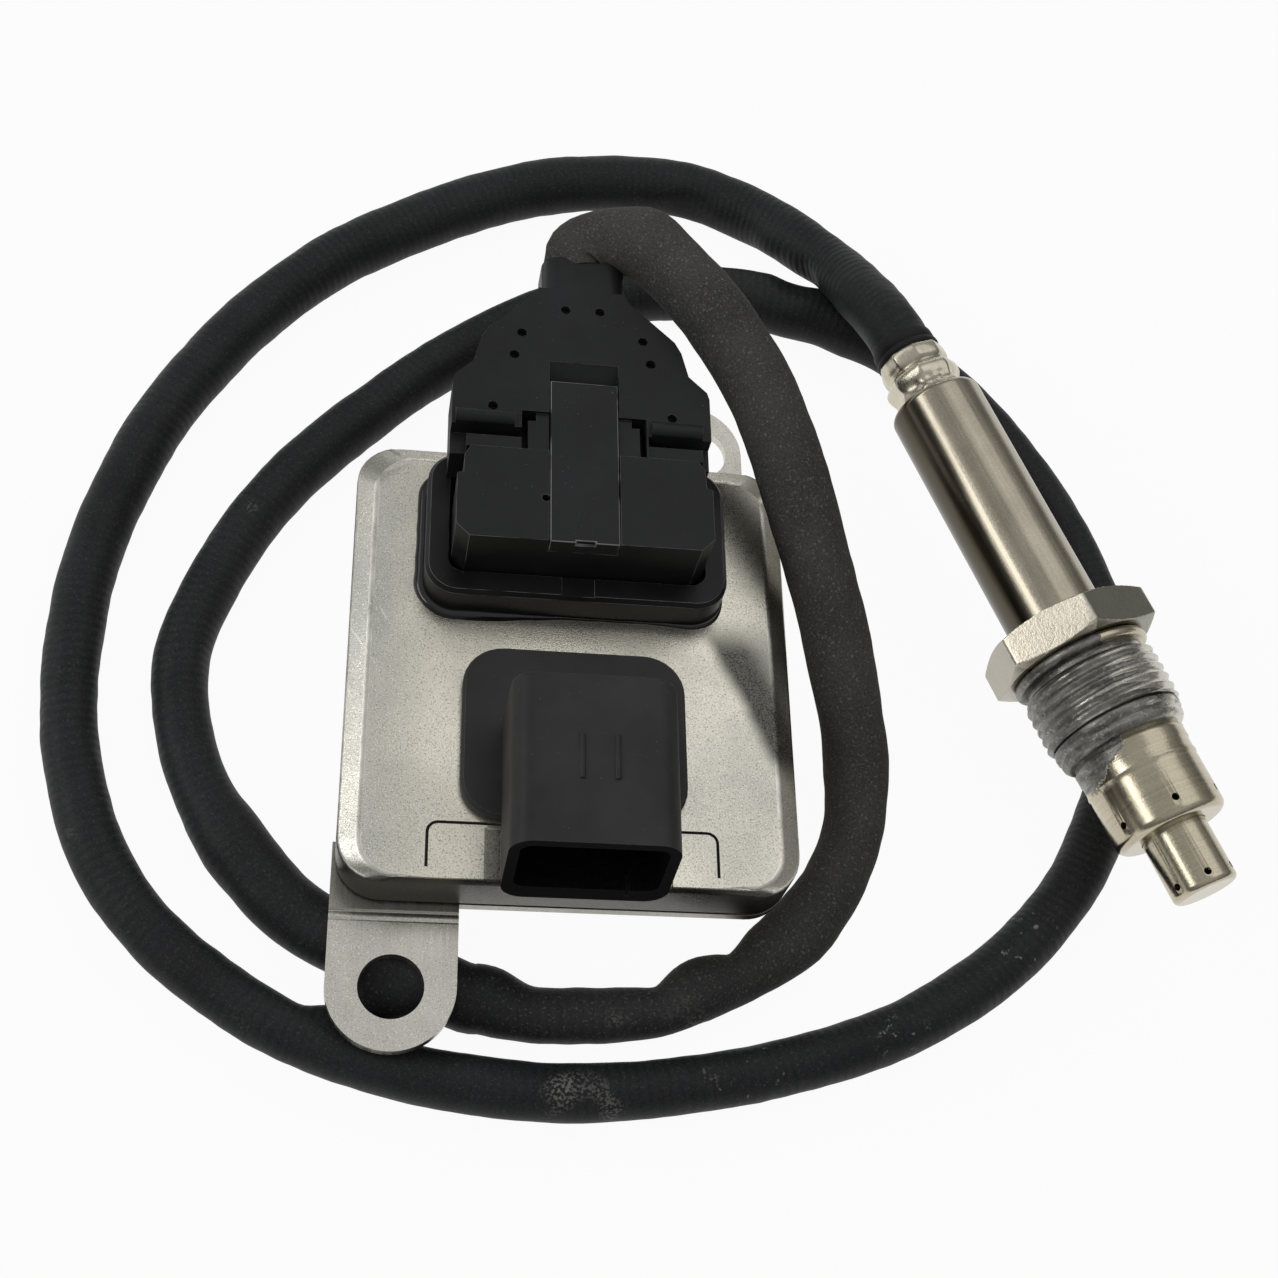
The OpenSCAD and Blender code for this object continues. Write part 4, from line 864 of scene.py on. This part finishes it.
def hexagon():
    """The hexagon with both ends chamfered, as a spun ring pulled in to its flats."""
    steps = [0.1 * i for i in range(9)]
    sides = [(s, HEX_FLATS) for s in steps] + [(HEX_HEIGHT - s, HEX_FLATS) for s in steps[::-1]]
    bm = turned([(0, BORE_R), (0, 9.4), *sides, (HEX_HEIGHT, 9.4), (HEX_HEIGHT, BORE_R)], 180)
    flat = HEX_FLATS / 2
    for v in bm.verts:
        radius = math.hypot(v.co.x, v.co.y)
        if radius > flat:
            angle = (math.atan2(v.co.y, v.co.x) - HEX_TURN) % (math.pi / 3) - math.pi / 6
            end = min(v.co.z, HEX_HEIGHT - v.co.z)
            cone = flat - 0.2 + (flat / math.cos(math.pi / 6) - flat + 0.2) * end / HEX_CHAMFER
            corner = flat / math.cos(math.pi / 6) - 0.12
            v.co.xy *= min(flat / math.cos(angle), cone, corner) / radius
    bm.transform(Matrix.Translation((0, 0, HEX_START)))
    return on_probe(bm)


def threaded_shank():
    """The undercut, the helical thread filled with paste, and the plain ring past it."""
    step = 0.1
    rows = [THREAD_START + step * i for i in range(round((THREAD_END - THREAD_START) / step))]
    start = HEX_START + HEX_HEIGHT
    crest = THREAD_D / 2
    outer = [(start, 8.6), (start + 1.5, 8.6), (start + 1.8, 8.75), (THREAD_START, 8.75),
             *((s, crest) for s in rows)]
    ring = [(THREAD_END, 9.3), (THREAD_END + 0.02, 8.7), (THREAD_END + 0.28, 8.7),
            (THREAD_END + 0.32, 9.3), (THREAD_END + 0.8, 9.38), (THREAD_END + 1.5, 9.3),
            (THREAD_END + 1.7, 9.02), (THREAD_END + 1.95, 9.0), (THREAD_END + 2.2, 9.14),
            (THREAD_END + 2.7, 9.05), (RING_END - 0.3, 8.75), (RING_END, 8.4), (RING_END, 7.7)]
    bm = turned([*outer, *ring, (start, 7.7)], 150)
    for v in bm.verts:
        radius = math.hypot(v.co.x, v.co.y)
        if THREAD_START - 0.05 < v.co.z < THREAD_END - 0.05 and radius > 9.5:
            angle = math.atan2(v.co.y, v.co.x)
            turn = (v.co.z / THREAD_PITCH - angle / math.tau) % 1
            groove = min(1, abs(2 * turn - 1) * 1.25) * 0.62
            paste = 0.5 + 0.5 * noise.noise(Vector((v.co.x * 0.2, v.co.y * 0.2, v.co.z * 0.35)))
            filled = 0.12 + max(0, math.sin(angle + 0.6)) * -0.3 + 0.5 * paste
            depth = 0.12 + groove * (1 - min(0.8, max(0, filled)))
            depth += 0.03 * noise.noise(v.co * 1.6)
            lead_in = max(0, THREAD_START + 0.8 - v.co.z) * 1.3
            v.co.xy *= (crest - max(depth, lead_in)) / radius
        elif v.co.z > THREAD_END - 0.05 and radius > 8.8:
            v.co.xy *= 1 + 0.008 * noise.noise(v.co * 0.7)
    near = bm.verts.layers.float.new("crest")
    for v in bm.verts:
        v[near] = max(0, (math.hypot(v.co.x, v.co.y) - crest + 0.5) / 0.5)
    return on_probe(bm)


def ringed(node, rings, edge, outside):
    """A copy of a shield with rolled rings: station, and how far it stands out there."""
    bm = clean_copy(node)
    axis = ON_PROBE.to_3x3() @ Vector((0, 0, 1))
    axis.normalize()
    sharp = [e for e in bm.edges if e.is_manifold and e.calc_face_angle() > math.radians(40)]
    round_edges(bm, sharp, edge, 2)
    for station, _ in rings:
        at = (PROBE_TAIL * MM) + axis * station * MM
        bmesh.ops.bisect_plane(bm, geom=bm.verts[:] + bm.edges[:] + bm.faces[:], dist=1e-7,
                               plane_co=at, plane_no=axis)
    for vert in bm.verts:
        from_tail = vert.co - PROBE_TAIL * MM
        run = from_tail.dot(axis)
        off = from_tail - axis * run
        for station, rise in rings:
            if abs(run / MM - station) < 0.004 and off.length > outside * MM:
                vert.co += off.normalized() * rise * MM
    return bm


SHIELD_RINGS = [(70.5, -0.3), (71.2, -0.3), (71.45, 0.06), (71.8, 0.0), (74.6, 0.0),
                (75.0, 0.13), (75.3, 0.11), (75.6, -0.05), (76.2, 0.0)]
TIP_RINGS = [(92.0, 0.0), (92.9, 0.0), (93.15, -0.1), (93.4, 0.0)]
piece("sleeve_end", sleeve_end(), RUBBER, "boot_rubber", "cable_boot", crease=60, weighted=False)
piece("crimped_collar", crumpled_collar(), COLLAR_STEEL, "probe_steel", "crimp_collar", crease=60,
      weighted=False)
piece("probe_tube", softened("body_tube", 0.1, 1, 40), TUBE_STEEL, "probe_steel", "body_tube")
piece("hexagon", hexagon(), HEX_STEEL, "hex_steel", "hex_body", crease=20, weighted=False)
piece("threaded_shank", threaded_shank(), PASTED, "hex_steel", crease=70, weighted=False)
piece("captive_ring", softened("seal_ring", 0.1, 1), RING_STEEL, "ring_steel", "seal_ring")
piece("shield", ringed("outer_shield", SHIELD_RINGS, 0.05, SHIELD_D / 2 - 0.3),
      SHIELD_STEEL, "shield_steel", "outer_shield")
piece("tip_tube", ringed("inner_shield", TIP_RINGS, 0.05, 4.3), TIP_STEEL, "shield_steel",
      "inner_shield")


# The floor's half width in metres, its own light and how much of what is seen of it that makes.
FLOOR_HALF_WIDTH = 3
FLOOR_GLOW = 1.05
FLOOR_GLOW_SHARE = 0.9


def studio():
    """The pale floor, a white background and four soft lamps."""
    floor = bpy.data.meshes.new("floor")
    bm = bmesh.new()
    bmesh.ops.create_grid(bm, x_segments=1, y_segments=1, size=FLOOR_HALF_WIDTH)
    bm.to_mesh(floor)
    bm.free()
    ground = bpy.data.objects.new("floor", floor)
    bpy.context.scene.collection.objects.link(ground)
    pale = bpy.data.materials.new("pale_floor")
    pale.use_nodes = True
    tree = pale.node_tree
    shader = tree.nodes["Principled BSDF"]
    shader.inputs["Base Color"].default_value = (0.5, 0.5, 0.5, 1)
    shader.inputs["Roughness"].default_value = 0.9
    shader.inputs["Specular IOR Level"].default_value = 0.1
    glow = add(tree, "Emission", {"Color": (1, 1, 1, 1), "Strength": FLOOR_GLOW})
    path = add(tree, "LightPath")
    seen = math_node(tree, "MAXIMUM", path.outputs["Is Camera Ray"], math_node(
        tree, "MAXIMUM", path.outputs["Is Glossy Ray"], path.outputs["Is Transmission Ray"]))
    share = math_node(tree, "MULTIPLY", seen, FLOOR_GLOW_SHARE)
    mixed = add(tree, "MixShader", {0: share, 1: shader.outputs[0], 2: glow.outputs[0]})
    tree.links.new(mixed.outputs[0], tree.nodes["Material Output"].inputs["Surface"])
    floor.materials.append(pale)

    world = bpy.data.worlds.new("studio")
    bpy.context.scene.world = world
    world.use_nodes = True
    tree = world.node_tree
    back = tree.nodes["Background"]
    apart = add(tree, "SeparateXYZ", {0: add(tree, "TexCoord").outputs["Generated"]})
    level = band(tree, apart.outputs[2], 0.2, 0.85, 0.1, 0.44)
    path = add(tree, "LightPath")
    pale_seen = math_node(tree, "MAXIMUM", path.outputs["Is Camera Ray"], math_node(
        tree, "MULTIPLY", math_node(tree, "MAXIMUM", path.outputs["Is Glossy Ray"],
                                    path.outputs["Is Transmission Ray"]), 0.08))
    shade = blend(tree, level, (0, 0, 0), (1, 1, 1))
    tree.links.new(blend(tree, pale_seen, shade, (1, 1, 1)), back.inputs[0])

    def softbox(name, at, size, power, aim=(0.01, 0.01, 0)):
        """A soft rectangular lamp turned to the object."""
        lamp = bpy.data.lights.new(name, "AREA")
        lamp.shape = "RECTANGLE"
        lamp.size, lamp.size_y = size
        lamp.energy = power
        holder = bpy.data.objects.new(name, lamp)
        holder.location = at
        holder.rotation_euler = (Vector(aim) - Vector(at)).to_track_quat("-Z", "Y").to_euler()
        bpy.context.scene.collection.objects.link(holder)

    softbox("overhead_softbox", (0.42, 0.42, 1.0), (0.9, 0.8), 1.25)
    softbox("window_softbox", (-0.95, 0.05, 0.55), (0.7, 0.3), 2.2)
    softbox("side_card", (-0.85, 0.54, 0.7), (0.6, 0.4), 0.65)
    softbox("back_softbox", (0.1, 1.2, 0.35), (0.8, 0.12), 0.6)


studio()
bpy.context.scene.view_settings.view_transform = "Standard"
